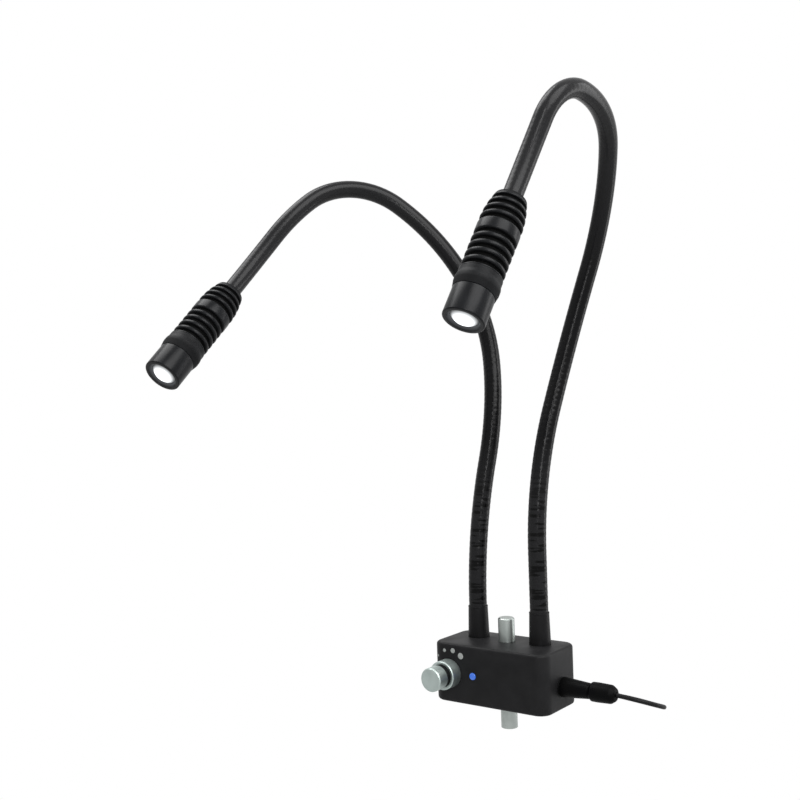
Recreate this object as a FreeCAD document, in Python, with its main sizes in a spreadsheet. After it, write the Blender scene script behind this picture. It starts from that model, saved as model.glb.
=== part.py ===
import FreeCAD, Part
import math
import os
import Sketcher
from FreeCAD import Matrix, Placement, Vector

# Twin-gooseneck illuminator on a stand rod. Millimetres, +Z up, front face towards -Y.
# The origin is the centre of the stand rod's lower end, and the rod stands on the Z axis.
# The control box rides on the rod, two goosenecks rise from its top, and each carries a
# finned light head.

doc = FreeCAD.newDocument("TwinGooseneckIlluminator")

# ---------------------------------------------------------------- driving sizes
SIZES = (
    ("RodDiameter", 12.0),
    ("RodLength", 80.0),
    ("RodBevel", 0.8),
    ("RodNeckDepth", 0.5),
    ("RodNeckWidth", 1.5),
    ("BoxLift", 20.5),
    ("BoxWidth", 94.0),
    ("BoxDepth", 48.0),
    ("BoxHeight", 42.5),
    ("BoxForward", 4.5),
    ("BoxCorner", 9.5),
    ("BoxEdge", 1.2),
    ("Wall", 2.5),
    ("SideWall", 5.0),
    ("RearWall", 6.0),
    ("CoverWidth", 75.0),
    ("CoverHeight", 36.0),
    ("CoverThickness", 2.0),
    ("CoverLedge", 3.2),
    ("CoverGap", 0.2),
    ("CoverScrewDiameter", 2.4),
    ("CoverScrewHead", 4.4),
    ("CoverScrewLength", 5.0),
    ("SlideGap", 0.05),
    ("RodHoleGap", 0.15),
    ("BushWall", 3.0),
    ("BushEndGap", 0.1),
    ("BushSlit", 1.5),
    ("ClampHeight", 17.0),
    ("ClampScrewDiameter", 4.0),
    ("ClampNeckDiameter", 7.0),
    ("ClampNeckLength", 2.0),
    ("ClampHeadDiameter", 13.0),
    ("ClampHeadLength", 11.0),
    ("ClampFluteDiameter", 2.0),
    ("ClampTipGap", 0.1),
    ("NeckPitch", 52.0),
    ("NeckSetback", 3.0),
    ("NeckDiameter", 13.3),
    ("NeckBore", 5.4),
    ("NeckBallDiameter", 10.4),
    ("NeckBallGap", 0.15),
    ("NeckBallTail", 2.0),
    ("NeckShoulder", 3.0),
    ("NeckPlugIn", 12.0),
    ("SleeveHeight", 23.0),
    ("SleeveFootDiameter", 15.8),
    ("SleeveTopDiameter", 14.3),
    ("SleeveLip", 1.2),
    ("SleeveLipRise", 0.15),
    ("SleeveFloor", 3.0),
    ("SleeveStemDiameter", 10.0),
    ("NeckClearance", 0.05),
    ("NeckFirstRise", 25.5),
    ("NeckNutWidth", 14.0),
    ("NeckNutHeight", 4.0),
    ("WireDiameter", 3.6),
    ("WireEndGap", 0.1),
    ("WireTail", 6.0),
    ("KnobInset", 14.7),
    ("KnobHeight", 21.25),
    ("CollarDiameter", 20.6),
    ("CollarLength", 10.0),
    ("CollarRim", 2.2),
    ("CollarFloor", 2.0),
    ("CollarBevel", 1.0),
    ("KnobGap", 0.4),
    ("KnobCoreDiameter", 15.8),
    ("KnobCoreLength", 11.4),
    ("KnobCapDiameter", 17.0),
    ("KnobCapLength", 9.8),
    ("KnobCapRound", 1.6),
    ("DialBodyDiameter", 16.0),
    ("DialBodyLength", 8.0),
    ("DialBushDiameter", 7.0),
    ("DialBushLength", 5.5),
    ("DialShaftDiameter", 6.0),
    ("DialShaftLength", 14.0),
    ("LampInset", 35.1),
    ("LampDiameter", 5.0),
    ("LampFlange", 5.8),
    ("LampLength", 8.6),
    ("LampProud", 1.2),
    ("BoardSideGap", 4.0),
    ("BoardDepth", 33.0),
    ("BoardThickness", 1.6),
    ("BoardPostHeight", 2.5),
    ("BoardPostDiameter", 5.0),
    ("BoardInset", 4.0),
    ("BoardScrewDiameter", 2.5),
    ("BoardScrewHead", 4.5),
    ("BoardHoleGap", 1.0),
    ("BoardFrontGap", 1.5),
    ("InductorWidth", 12.0),
    ("InductorHeight", 7.0),
    ("InductorDish", 0.6),
    ("InductorGap", 5.0),
    ("InductorSetback", 4.0),
    ("CapacitorDiameter", 6.3),
    ("CapacitorHeight", 7.5),
    ("CapacitorGap", 5.8),
    ("CapacitorForward", 8.0),
    ("InletForward", 0.5),
    ("InletHeight", 16.5),
    ("InletDiameter", 11.0),
    ("InletFlange", 13.0),
    ("InletFlangeThickness", 1.0),
    ("InletLength", 18.0),
    ("InletBore", 5.8),
    ("InletBoreDepth", 11.0),
    ("PlugContactDiameter", 5.5),
    ("PlugContactBore", 2.1),
    ("PlugContactLength", 9.5),
    ("PlugNoseLength", 21.5),
    ("PlugNoseWide", 14.2),
    ("PlugNoseNarrow", 10.9),
    ("PlugBarrelDiameter", 13.5),
    ("PlugBarrelLength", 19.3),
    ("PlugRound", 2.4),
    ("CordDiameter", 3.2),
    ("CoilRingDiameter", 35.0),
    ("CoilBundle", 13.0),
    ("SoftGap", 0.3),
    ("TieWidth", 8.0),
    ("TieThickness", 1.0),
    ("TieRound", 3.0),
    ("EndPlugThickness", 8.0),
    ("EndPlugWidth", 13.5),
    ("EndPlugLength", 22.0),
    ("EndPlugRound", 2.5),
    ("EndPlugBootLength", 7.0),
    ("EndPlugBootDiameter", 5.6),
    ("EndShellThickness", 4.5),
    ("EndShellWidth", 12.0),
    ("EndShellLength", 14.0),
    ("EndShellWall", 0.6),
    ("EndTongueThickness", 1.8),
    ("SinkDiameter", 28.0),
    ("SinkRearDiameter", 21.0),
    ("SinkLength", 59.0),
    ("SinkTaper", 24.0),
    ("SinkBow", 1.2),
    ("FinGrooveWidth", 3.0),
    ("FinGrooveDepth", 2.5),
    ("RearGrooveStart", 5.25),
    ("RearGroovePitch", 5.55),
    ("FrontGrooveStart", 33.15),
    ("FrontGroovePitch", 5.82),
    ("SinkSpigotDiameter", 25.0),
    ("SinkSpigotLength", 2.0),
    ("HeadCollarDiameter", 29.2),
    ("HeadCollarRing", 3.8),
    ("HeadCollarLength", 12.8),
    ("HeadCollarBevel", 0.8),
    ("HeadCollarSlant", 4.5),
    ("HeadCollarFrontDiameter", 27.4),
    ("HeadCollarWall", 2.1),
    ("LightBoardDiameter", 21.0),
    ("LightBoardThickness", 1.6),
    ("EmitterDiameter", 6.0),
    ("EmitterHeight", 1.8),
    ("BarrelDiameter", 27.0),
    ("BarrelLength", 19.2),
    ("BarrelTailLength", 8.0),
    ("BarrelTailGap", 0.06),
    ("BarrelWall", 1.7),
    ("BarrelMouthDiameter", 18.6),
    ("BarrelMouthDepth", 2.6),
    ("BarrelRound", 0.8),
    ("LensEdge", 2.0),
    ("LensDome", 4.0),
    ("LensGap", 0.1),
    ("LensRingLength", 2.4),
    ("LensRingWall", 1.8),
    ("LeftArc1", 105.0),
    ("LeftArc2", 79.0),
    ("LeftArc3", 154.0),
    ("LeftArc4", 78.0),
    ("LeftArc5", 40.7),
    ("LeftArc6", 61.3),
    ("RightArc1", 40.0),
    ("RightArc2", 106.0),
    ("RightArc3", 106.0),
    ("RightArc4", 97.0),
    ("RightArc5", 66.0),
    ("RightArc6", 46.1),
    ("RightArc7", 59.9),
)

# Each gooseneck is a hose bent like a tube: every row names the length of one arc along
# its centre line, and gives the bend over it in degrees and the turn of the bend's plane
# before it. A row with no bend is straight. Each group of rows is one hinged link.
LEFT_BENDS = (
    (("LeftArc1", 14, 159),),
    (("LeftArc2", 22, 92),),
    (("LeftArc3", 57, 75),),
    (("LeftArc4", 78, -7),),
    (("LeftArc5", 15.9, -45.7), ("LeftArc6", 22.5, 128.8)),
)
RIGHT_BENDS = (
    (("RightArc1", 0, 0), ("RightArc2", 25, 173)),
    (("RightArc3", 22, -135),),
    (("RightArc4", 51, -21),),
    (("RightArc5", 44, -26),),
    (("RightArc6", 79, 19.7), ("RightArc7", 21.1, 141.6)),
)

sheet = doc.addObject("Spreadsheet::Sheet", "Sizes")


class Dim:
    """A size that knows its number and the spreadsheet expression that gives it."""

    def __init__(self, value, text):
        self.value = value
        self.text = text

    def join(self, other, sign, value):
        return Dim(value, "(%s %s %s)" % (self.text, sign, as_dim(other).text))

    def __add__(self, other):
        return self.join(other, "+", self.value + as_dim(other).value)

    def __sub__(self, other):
        return self.join(other, "-", self.value - as_dim(other).value)

    def __mul__(self, other):
        return self.join(other, "*", self.value * as_dim(other).value)

    def __truediv__(self, other):
        return self.join(other, "/", self.value / as_dim(other).value)

    def __neg__(self):
        return Dim(-self.value, "(0 - %s)" % self.text)


def as_dim(number):
    return number if isinstance(number, Dim) else Dim(float(number), repr(float(number)))


def put_size(row, alias, number):
    sheet.set("A%d" % row, alias)
    sheet.set("B%d" % row, str(number))
    sheet.setAlias("B%d" % row, alias)
    return Dim(float(number), "Sizes." + alias)


size = {}
for place, (alias, number) in enumerate(SIZES):
    size[alias] = put_size(place + 1, alias, number)


def bend_rows(groups):
    """The bend rows of one gooseneck as sizes: [[(length, bend, turn), ...], ...]."""
    links = []
    for rows in groups:
        named = []
        for arc, bend, turn in rows:
            for word, number in (("Bend", bend), ("Turn", turn)):
                size[arc + word] = put_size(len(size) + 1, arc + word, number)
            named.append((size[arc], size[arc + "Bend"], size[arc + "Turn"]))
        links.append(named)
    return links


left_links = bend_rows(LEFT_BENDS)
right_links = bend_rows(RIGHT_BENDS)
doc.recompute()


# ---------------------------------------------------------------- helpers
def bind(thing, path, dim):
    """Sets one property of a document object from a size, by expression."""
    thing.setExpression(path, as_dim(dim).text)


def new_body(label, x=0, y=0, z=0):
    """A PartDesign body whose place follows three sizes."""
    body = doc.addObject("PartDesign::Body", label)
    body.Label = label
    for axis, dim in (("x", x), ("y", y), ("z", z)):
        bind(body, "Placement.Base." + axis, dim)
    return body


def origin_plane(body, role):
    return next(f for f in body.Origin.OriginFeatures if f.Role == role)


def new_sketch(body, name, role="XY_Plane", offset=0):
    """A sketch on one of the body's own origin planes, moved along its normal."""
    sketch = body.newObject("Sketcher::SketchObject", body.Label + "_" + name)
    sketch.AttachmentSupport = [(origin_plane(body, role), "")]
    sketch.MapMode = "FlatFace"
    bind(sketch, "AttachmentOffset.Base.z", offset)
    return sketch


def fix_point(sketch, curve, end, x, y):
    """Holds one end of a curve at (x, y) from the sketch's origin."""
    for kind, dim in (("DistanceX", x), ("DistanceY", y)):
        dim = as_dim(dim)
        index = sketch.addConstraint(
            Sketcher.Constraint(kind, -1, 1, curve, end, dim.value)
        )
        bind(sketch, "Constraints[%d]" % index, dim)


def draw_circle(sketch, x, y, diameter):
    diameter = as_dim(diameter)
    centre = Vector(as_dim(x).value, as_dim(y).value, 0)
    curve = sketch.addGeometry(Part.Circle(centre, Vector(0, 0, 1), diameter.value / 2))
    index = sketch.addConstraint(Sketcher.Constraint("Diameter", curve, diameter.value))
    bind(sketch, "Constraints[%d]" % index, diameter)
    fix_point(sketch, curve, 3, x, y)


def draw_profile(sketch, points):
    """A closed outline. A point is (x, y), or (x, y, radius) where the edge that leaves it
    bows outwards, away from the sketch's vertical axis, with that radius."""
    places = [Vector(as_dim(p[0]).value, as_dim(p[1]).value, 0) for p in points]
    curves = []
    for index, point in enumerate(points):
        start = places[index]
        end = places[(index + 1) % len(points)]
        if len(point) == 3:
            chord = end - start
            side = Vector(chord.y, -chord.x, 0).normalize()
            radius = as_dim(point[2]).value
            rise = radius - math.sqrt(radius ** 2 - (chord.Length / 2) ** 2)
            middle = (start + end) / 2 + side * rise
            curves.append(sketch.addGeometry(Part.Arc(start, middle, end)))
        else:
            curves.append(sketch.addGeometry(Part.LineSegment(start, end)))
    for index, point in enumerate(points):
        curve = curves[index]
        after = curves[(index + 1) % len(points)]
        bowed = len(point) == 3
        # An arc runs anticlockwise, so its ends may come in the other order.
        start_end = (1, 2)
        if bowed:
            first = sketch.Geometry[curve].StartPoint
            start_end = (1, 2) if (first - places[index]).Length < 1e-6 else (2, 1)
            radius = as_dim(point[2])
            mark = sketch.addConstraint(Sketcher.Constraint("Radius", curve, radius.value))
            bind(sketch, "Constraints[%d]" % mark, radius)
        fix_point(sketch, curve, start_end[0], point[0], point[1])
        next_point = points[(index + 1) % len(points)]
        if len(next_point) == 3:
            first = sketch.Geometry[after].StartPoint
            near = (first - places[(index + 1) % len(points)]).Length < 1e-6
            sketch.addConstraint(
                Sketcher.Constraint("Coincident", curve, start_end[1], after, 1 if near else 2)
            )
        else:
            sketch.addConstraint(
                Sketcher.Constraint("Coincident", curve, start_end[1], after, 1)
            )


def draw_rectangle(sketch, x, y, width, height):
    """A rectangle centred on (x, y)."""
    x, y, width, height = (as_dim(d) for d in (x, y, width, height))
    draw_profile(
        sketch,
        (
            (x - width / 2, y - height / 2),
            (x + width / 2, y - height / 2),
            (x + width / 2, y + height / 2),
            (x - width / 2, y + height / 2),
        ),
    )


def add_pad(body, sketch, length, back=False):
    pad = body.newObject("PartDesign::Pad", sketch.Label + "_pad")
    pad.Profile = sketch
    pad.Reversed = back
    bind(pad, "Length", length)
    return pad


def add_pocket(body, sketch, length, forward=False):
    """A cut against the sketch's normal, or along it when forward is true."""
    pocket = body.newObject("PartDesign::Pocket", sketch.Label + "_cut")
    pocket.Profile = sketch
    pocket.Reversed = forward
    bind(pocket, "Length", length)
    return pocket


def add_turned(body, name, points, groove=False):
    """A turned form, or a turned cut, about the body's Z axis from a half section (r, z)."""
    sketch = new_sketch(body, name, "XZ_Plane")
    draw_profile(sketch, points)
    kind = "Groove" if groove else "Revolution"
    turned = body.newObject("PartDesign::" + kind, sketch.Label + "_turned")
    turned.Profile = sketch
    turned.ReferenceAxis = (sketch, ["V_Axis"])
    turned.Angle = 360
    return turned


def edge_names(feature, test):
    """The names of a feature's edges whose middle point and curve pass a test."""
    names = []
    for index, edge in enumerate(feature.Shape.Edges):
        middle = edge.valueAt((edge.FirstParameter + edge.LastParameter) / 2)
        if test(edge, middle):
            names.append("Edge%d" % (index + 1))
    return names


def round_edges(body, name, test, radius):
    doc.recompute()
    base = body.Tip
    fillet = body.newObject("PartDesign::Fillet", body.Label + "_" + name)
    fillet.Base = (base, edge_names(base, test))
    bind(fillet, "Radius", radius)
    return fillet


def bevel_edges(body, name, test, width):
    doc.recompute()
    base = body.Tip
    chamfer = body.newObject("PartDesign::Chamfer", body.Label + "_" + name)
    chamfer.Base = (base, edge_names(base, test))
    bind(chamfer, "Size", width)
    return chamfer


def is_circle(edge, radius):
    return isinstance(edge.Curve, Part.Circle) and abs(edge.Curve.Radius - radius) < 1e-4


def is_upright(edge):
    ends = edge.Vertexes
    if len(ends) != 2:
        return False
    run = ends[1].Point - ends[0].Point
    return abs(run.x) < 1e-6 and abs(run.y) < 1e-6


def axes_place(origin, x_axis, z_axis):
    """The placement whose local Z is z_axis and whose local X is x_axis."""
    x_axis = Vector(x_axis).normalize()
    z_axis = Vector(z_axis).normalize()
    y_axis = z_axis.cross(x_axis)
    return Placement(
        Matrix(
            x_axis.x, y_axis.x, z_axis.x, origin.x,
            x_axis.y, y_axis.y, z_axis.y, origin.y,
            x_axis.z, y_axis.z, z_axis.z, origin.z,
            0, 0, 0, 1,
        )
    )


# ---------------------------------------------------------------- shared places
box_top = size["BoxLift"] + size["BoxHeight"]
box_centre_y = -size["BoxForward"]
front_face_y = box_centre_y - size["BoxDepth"] / 2
rear_face_y = box_centre_y + size["BoxDepth"] / 2
cavity_height = size["BoxHeight"] - size["Wall"] * 2
knob_z = size["BoxLift"] + size["KnobHeight"]
clamp_z = size["BoxLift"] + size["ClampHeight"]
inlet_y = box_centre_y - size["InletForward"]
inlet_z = size["BoxLift"] + size["InletHeight"]
side_face_x = size["BoxWidth"] / 2
knob_x = -(side_face_x - size["KnobInset"])
lamp_x = -(side_face_x - size["LampInset"])
board_width = size["BoxWidth"] - size["SideWall"] * 2 - size["BoardSideGap"] * 2
bush_diameter = size["RodDiameter"] + size["SlideGap"] * 2 + size["BushWall"] * 2


# ---------------------------------------------------------------- stand rod and clamp
def make_rod():
    """The polished rod. A shallow relief at the box's underside parts the gripped stretch
    below it from the stretch that the box rides on."""
    body = new_body("mounting_rod")
    radius = size["RodDiameter"] / 2
    relief = radius - size["RodNeckDepth"]
    length = size["RodLength"]
    bevel = size["RodBevel"]
    low = size["BoxLift"]
    add_turned(
        body,
        "half_section",
        (
            (0, 0),
            (radius, 0),
            (radius, low),
            (relief, low + size["RodNeckDepth"]),
            (relief, low + size["RodNeckDepth"] + size["RodNeckWidth"]),
            (radius, low + size["RodNeckDepth"] * 2 + size["RodNeckWidth"]),
            (radius, length - bevel),
            (radius - bevel, length),
            (0, length),
        ),
    )


def make_bush():
    """The split bush that slides on the rod. The box turns on its outside."""
    body = new_body("rod_bush", z=size["BoxLift"] + size["Wall"] + size["BushEndGap"])
    height = cavity_height - size["BushEndGap"] * 2
    ring = new_sketch(body, "ring")
    draw_circle(ring, 0, 0, bush_diameter)
    draw_circle(ring, 0, 0, size["RodDiameter"] + size["SlideGap"] * 2)
    add_pad(body, ring, height)
    slit = new_sketch(body, "slit")
    draw_rectangle(slit, 0, -bush_diameter / 2, size["BushSlit"], bush_diameter)
    add_pocket(body, slit, height, forward=True)


def make_clamp_screw():
    """The thumb screw at the back: threaded shank, neck and fluted head."""
    body = new_body("clamp_screw", y=bush_diameter / 2 + size["ClampTipGap"], z=clamp_z)
    shank_length = rear_face_y - bush_diameter / 2 - size["ClampTipGap"]
    head_start = shank_length + size["ClampNeckLength"]
    sections = (
        ("shank", 0, size["ClampScrewDiameter"], shank_length),
        ("neck", shank_length, size["ClampNeckDiameter"], size["ClampNeckLength"]),
        ("head", head_start, size["ClampHeadDiameter"], size["ClampHeadLength"]),
    )
    for name, start, diameter, length in sections:
        sketch = new_sketch(body, name, "XZ_Plane", -as_dim(start))
        draw_circle(sketch, 0, 0, diameter)
        add_pad(body, sketch, length, back=True)
    # Shallow flutes round the head give the fingers a grip.
    flute = new_sketch(body, "flute", "XZ_Plane", -head_start)
    across = size["ClampHeadDiameter"] / 2 + size["ClampFluteDiameter"] / 5
    draw_circle(flute, across, 0, size["ClampFluteDiameter"])
    cut = add_pocket(body, flute, size["ClampHeadLength"])
    doc.recompute()
    ring = body.newObject("PartDesign::PolarPattern", "clamp_screw_flutes")
    ring.Originals = [cut]
    ring.Axis = (origin_plane(body, "Y_Axis"), [""])
    ring.Angle = 360
    ring.Occurrences = 12
    body.Tip = ring


# ---------------------------------------------------------------- control box
def make_housing():
    """The moulded box: rounded upright corners, one big cavity open at the rear."""
    body = new_body("housing", y=box_centre_y, z=size["BoxLift"])
    width, depth, height = size["BoxWidth"], size["BoxDepth"], size["BoxHeight"]
    plan = new_sketch(body, "plan")
    draw_rectangle(plan, 0, 0, width, depth)
    add_pad(body, plan, height)
    round_edges(body, "corners", lambda edge, at: is_upright(edge), size["BoxCorner"])
    top = height.value
    round_edges(
        body,
        "rims",
        lambda edge, at: min(abs(at.z), abs(at.z - top)) < 1e-6,
        size["BoxEdge"],
    )
    rear = depth / 2
    middle = height / 2
    # The cover's rebate, the opening inside its ledge, and the wider room behind the ledge.
    rebate = new_sketch(body, "rebate", "XZ_Plane", -rear)
    draw_rectangle(rebate, 0, middle, size["CoverWidth"], size["CoverHeight"])
    add_pocket(body, rebate, size["CoverThickness"], forward=True)
    opening = new_sketch(body, "opening", "XZ_Plane", -rear)
    ledge = size["CoverLedge"] * 2
    draw_rectangle(
        opening, 0, middle, size["CoverWidth"] - ledge, size["CoverHeight"] - ledge
    )
    add_pocket(body, opening, size["RearWall"] + 1, forward=True)
    room = new_sketch(body, "room", "XZ_Plane", -(rear - size["RearWall"]))
    draw_rectangle(room, 0, middle, width - size["SideWall"] * 2, cavity_height)
    add_pocket(body, room, depth - size["RearWall"] - size["Wall"], forward=True)
    # Posts under the driver board, each with a screw hole.
    posts = new_sketch(body, "posts", "XY_Plane", size["Wall"])
    for x, y in board_corners():
        draw_circle(posts, x, y + size["BoxForward"], size["BoardPostDiameter"])
    add_pad(body, posts, size["BoardPostHeight"])
    post_holes = new_sketch(
        body, "post_holes", "XY_Plane", size["Wall"] + size["BoardPostHeight"]
    )
    for x, y in board_corners():
        draw_circle(post_holes, x, y + size["BoxForward"], size["BoardScrewDiameter"])
    add_pocket(body, post_holes, size["BoardPostHeight"] + 1)
    # The rod's holes, through floor and top.
    rod_hole = new_sketch(body, "rod_hole")
    rod_gap = size["RodHoleGap"] * 2
    draw_circle(rod_hole, 0, size["BoxForward"], size["RodDiameter"] + rod_gap)
    add_pocket(body, rod_hole, height, forward=True)
    # The goosenecks' holes in the top.
    neck_holes = new_sketch(body, "neck_holes", "XY_Plane", height)
    for side in (-1, 1):
        draw_circle(
            neck_holes,
            size["NeckPitch"] / 2 * side,
            size["NeckSetback"] + size["BoxForward"],
            size["SleeveStemDiameter"] + size["NeckClearance"] * 2,
        )
    add_pocket(body, neck_holes, size["Wall"] + 1)
    # The dial's and the indicator's holes in the front.
    front_holes = new_sketch(body, "front_holes", "XZ_Plane", rear)
    gap = size["NeckClearance"] * 2
    draw_circle(front_holes, knob_x, size["KnobHeight"], size["DialBushDiameter"] + gap)
    draw_circle(front_holes, lamp_x, size["KnobHeight"], size["LampDiameter"] + gap)
    add_pocket(body, front_holes, size["Wall"] + 1)
    # The power inlet's hole in the right side.
    side_hole = new_sketch(body, "side_hole", "YZ_Plane", width / 2)
    draw_circle(
        side_hole, -size["InletForward"], size["InletHeight"], size["InletDiameter"] + gap
    )
    add_pocket(body, side_hole, size["SideWall"] + 1)
    # Screw holes in the ledge.
    screw_holes = new_sketch(body, "screw_holes", "XZ_Plane", -(rear - size["CoverThickness"]))
    for x, z in cover_corners():
        draw_circle(screw_holes, x, z, size["CoverScrewDiameter"])
    add_pocket(
        body, screw_holes, size["RearWall"] - size["CoverThickness"] + 1, forward=True
    )


def cover_corners():
    """Where the cover's screws stand, across and up from the box's floor."""
    across = size["CoverWidth"] / 2 - size["CoverLedge"] / 2 - 0.4
    up = size["CoverHeight"] / 2 - size["CoverLedge"] / 2 - 0.4
    middle = size["BoxHeight"] / 2
    return [
        (across * side, middle + up * level) for side in (-1, 1) for level in (-1, 1)
    ]


def make_cover():
    """The flush rear plate with its screw holes and the clamp screw's threaded hole."""
    thick = size["CoverThickness"]
    body = new_body("rear_cover", y=rear_face_y, z=size["BoxLift"])
    gap = size["CoverGap"]
    plate = new_sketch(body, "plate", "XZ_Plane")
    middle = size["BoxHeight"] / 2
    draw_rectangle(
        plate, 0, middle, size["CoverWidth"] - gap * 2, size["CoverHeight"] - gap * 2
    )
    add_pad(body, plate, thick)
    holes = new_sketch(body, "holes", "XZ_Plane")
    for x, z in cover_corners():
        draw_circle(holes, x, z, size["CoverScrewDiameter"] + 0.2)
    draw_circle(holes, 0, size["ClampHeight"], size["ClampScrewDiameter"] + 0.1)
    add_pocket(body, holes, thick, forward=True)


def make_cover_screws():
    """Four pan-head screws; each head bears on the plate."""
    body = new_body("cover_screws", y=rear_face_y, z=size["BoxLift"])
    heads = new_sketch(body, "heads", "XZ_Plane")
    shanks = new_sketch(body, "shanks", "XZ_Plane")
    for x, z in cover_corners():
        draw_circle(heads, x, z, size["CoverScrewHead"])
        draw_circle(shanks, x, z, size["CoverScrewDiameter"] - 0.1)
    add_pad(body, heads, 1.4, back=True)
    add_pad(body, shanks, size["CoverScrewLength"])


# ---------------------------------------------------------------- electronics
def board_corners():
    """Where the board's screws stand, measured from the stand rod."""
    across = board_width / 2 - size["BoardInset"]
    deep = size["BoardDepth"] / 2 - size["BoardInset"]
    return [
        (across * side, board_y() + deep * level) for side in (-1, 1) for level in (-1, 1)
    ]


def board_y():
    """The board's middle: its front edge keeps a gap behind the front wall."""
    return front_face_y + size["Wall"] + size["BoardFrontGap"] + size["BoardDepth"] / 2


board_z = size["BoxLift"] + size["Wall"] + size["BoardPostHeight"]
board_top = board_z + size["BoardThickness"]


def make_board():
    """The constant-current driver board, cut out round the rod's bush."""
    body = new_body("driver_board", y=board_y(), z=board_z)
    outline = new_sketch(body, "outline")
    draw_rectangle(outline, 0, 0, board_width, size["BoardDepth"])
    add_pad(body, outline, size["BoardThickness"])
    cuts = new_sketch(body, "cuts")
    draw_circle(cuts, 0, -board_y(), bush_diameter + size["BoardHoleGap"] * 2)
    for x, y in board_corners():
        draw_circle(cuts, x, y - board_y(), size["BoardScrewDiameter"] + 0.2)
    add_pocket(body, cuts, size["BoardThickness"], forward=True)


def make_board_screws():
    body = new_body("board_screws", z=board_top)
    heads = new_sketch(body, "heads")
    shanks = new_sketch(body, "shanks")
    for x, y in board_corners():
        draw_circle(heads, x, y, size["BoardScrewHead"])
        draw_circle(shanks, x, y, size["BoardScrewDiameter"] - 0.1)
    add_pad(body, heads, 1.5)
    add_pad(body, shanks, size["BoardThickness"] + size["BoardPostHeight"], back=True)


def make_inductor():
    """The shielded choke, left of the bush."""
    width = size["InductorWidth"]
    across = bush_diameter / 2 + size["InductorGap"] + width / 2
    body = new_body(
        "inductor", x=-across, y=board_y() + size["InductorSetback"], z=board_top
    )
    block = new_sketch(body, "block")
    draw_rectangle(block, 0, 0, width, width)
    add_pad(body, block, size["InductorHeight"])
    round_edges(body, "corners", lambda edge, at: is_upright(edge), width / 5)
    dish = new_sketch(body, "dish", "XY_Plane", size["InductorHeight"])
    draw_circle(dish, 0, 0, width * 0.75)
    add_pocket(body, dish, size["InductorDish"])


def make_capacitors():
    """Two can capacitors near the inlet."""
    across = bush_diameter / 2 + size["CapacitorGap"] + size["CapacitorDiameter"] / 2
    body = new_body(
        "capacitors", x=across, y=board_y() - size["CapacitorForward"], z=board_top
    )
    cans = new_sketch(body, "cans")
    for step in (0, 1):
        draw_circle(cans, size["CapacitorDiameter"] * 1.3 * step, 0, size["CapacitorDiameter"])
    add_pad(body, cans, size["CapacitorHeight"])


def make_dial():
    """The potentiometer: can, threaded bush through the front wall, and its shaft."""
    inner_y = front_face_y + size["Wall"]
    body = new_body("potentiometer", x=knob_x, y=inner_y, z=knob_z)
    can = new_sketch(body, "can", "XZ_Plane", 0)
    draw_circle(can, 0, 0, size["DialBodyDiameter"])
    add_pad(body, can, size["DialBodyLength"], back=True)
    bush = new_sketch(body, "bush", "XZ_Plane", 0)
    draw_circle(bush, 0, 0, size["DialBushDiameter"])
    add_pad(body, bush, size["DialBushLength"])
    bore = new_sketch(body, "bore", "XZ_Plane", size["DialBushLength"])
    draw_circle(bore, 0, 0, size["DialShaftDiameter"] + size["SlideGap"] * 2)
    add_pocket(body, bore, size["DialBushLength"] + 2)

    shaft = new_body("potentiometer_shaft", x=knob_x, y=inner_y, z=knob_z)
    rod = new_sketch(shaft, "rod", "XZ_Plane", -as_dim(1.5))
    draw_circle(rod, 0, 0, size["DialShaftDiameter"])
    add_pad(shaft, rod, size["DialShaftLength"] + 1.5)


def make_knob():
    """The dimmer knob: a fixed bright collar screwed on the dial's bush, and the turning
    part in it, a black core on the shaft with a bright cap."""
    collar = new_body("knob_collar", x=knob_x, y=front_face_y, z=knob_z)
    outside = new_sketch(collar, "outside", "XZ_Plane")
    draw_circle(outside, 0, 0, size["CollarDiameter"])
    draw_circle(outside, 0, 0, size["DialBushDiameter"] + size["NeckClearance"] * 2)
    add_pad(collar, outside, size["CollarLength"])
    cup = new_sketch(collar, "cup", "XZ_Plane", size["CollarLength"])
    draw_circle(cup, 0, 0, size["CollarDiameter"] - size["CollarRim"] * 2)
    add_pocket(collar, cup, size["CollarLength"] - size["CollarFloor"])
    outer = size["CollarDiameter"].value / 2
    bevel_edges(
        collar, "rim", lambda edge, at: is_circle(edge, outer), size["CollarBevel"]
    )

    core_start = size["CollarFloor"] + size["KnobGap"]
    core = new_body("knob_core", x=knob_x, y=front_face_y - core_start, z=knob_z)
    stem = new_sketch(core, "stem", "XZ_Plane")
    draw_circle(stem, 0, 0, size["KnobCoreDiameter"])
    add_pad(core, stem, size["KnobCoreLength"])
    bore = new_sketch(core, "bore", "XZ_Plane")
    shaft_reach = size["DialShaftLength"] - size["Wall"] - core_start
    draw_circle(bore, 0, 0, size["DialShaftDiameter"] + size["SlideGap"] * 2)
    add_pocket(core, bore, shaft_reach + size["KnobGap"], forward=True)
    mouth = new_sketch(core, "mouth", "XZ_Plane")
    bush_reach = size["DialBushLength"] - size["Wall"] - core_start
    draw_circle(mouth, 0, 0, size["DialBushDiameter"] + size["KnobGap"] * 2)
    add_pocket(core, mouth, bush_reach + size["KnobGap"], forward=True)

    cap_start = core_start + size["KnobCoreLength"]
    cap = new_body("knob_cap", x=knob_x, y=front_face_y - cap_start, z=knob_z)
    face = new_sketch(cap, "face", "XZ_Plane")
    draw_circle(face, 0, 0, size["KnobCapDiameter"])
    add_pad(cap, face, size["KnobCapLength"])
    grip = size["KnobCapDiameter"].value / 2
    round_edges(cap, "rim", lambda edge, at: is_circle(edge, grip), size["KnobCapRound"])


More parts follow.
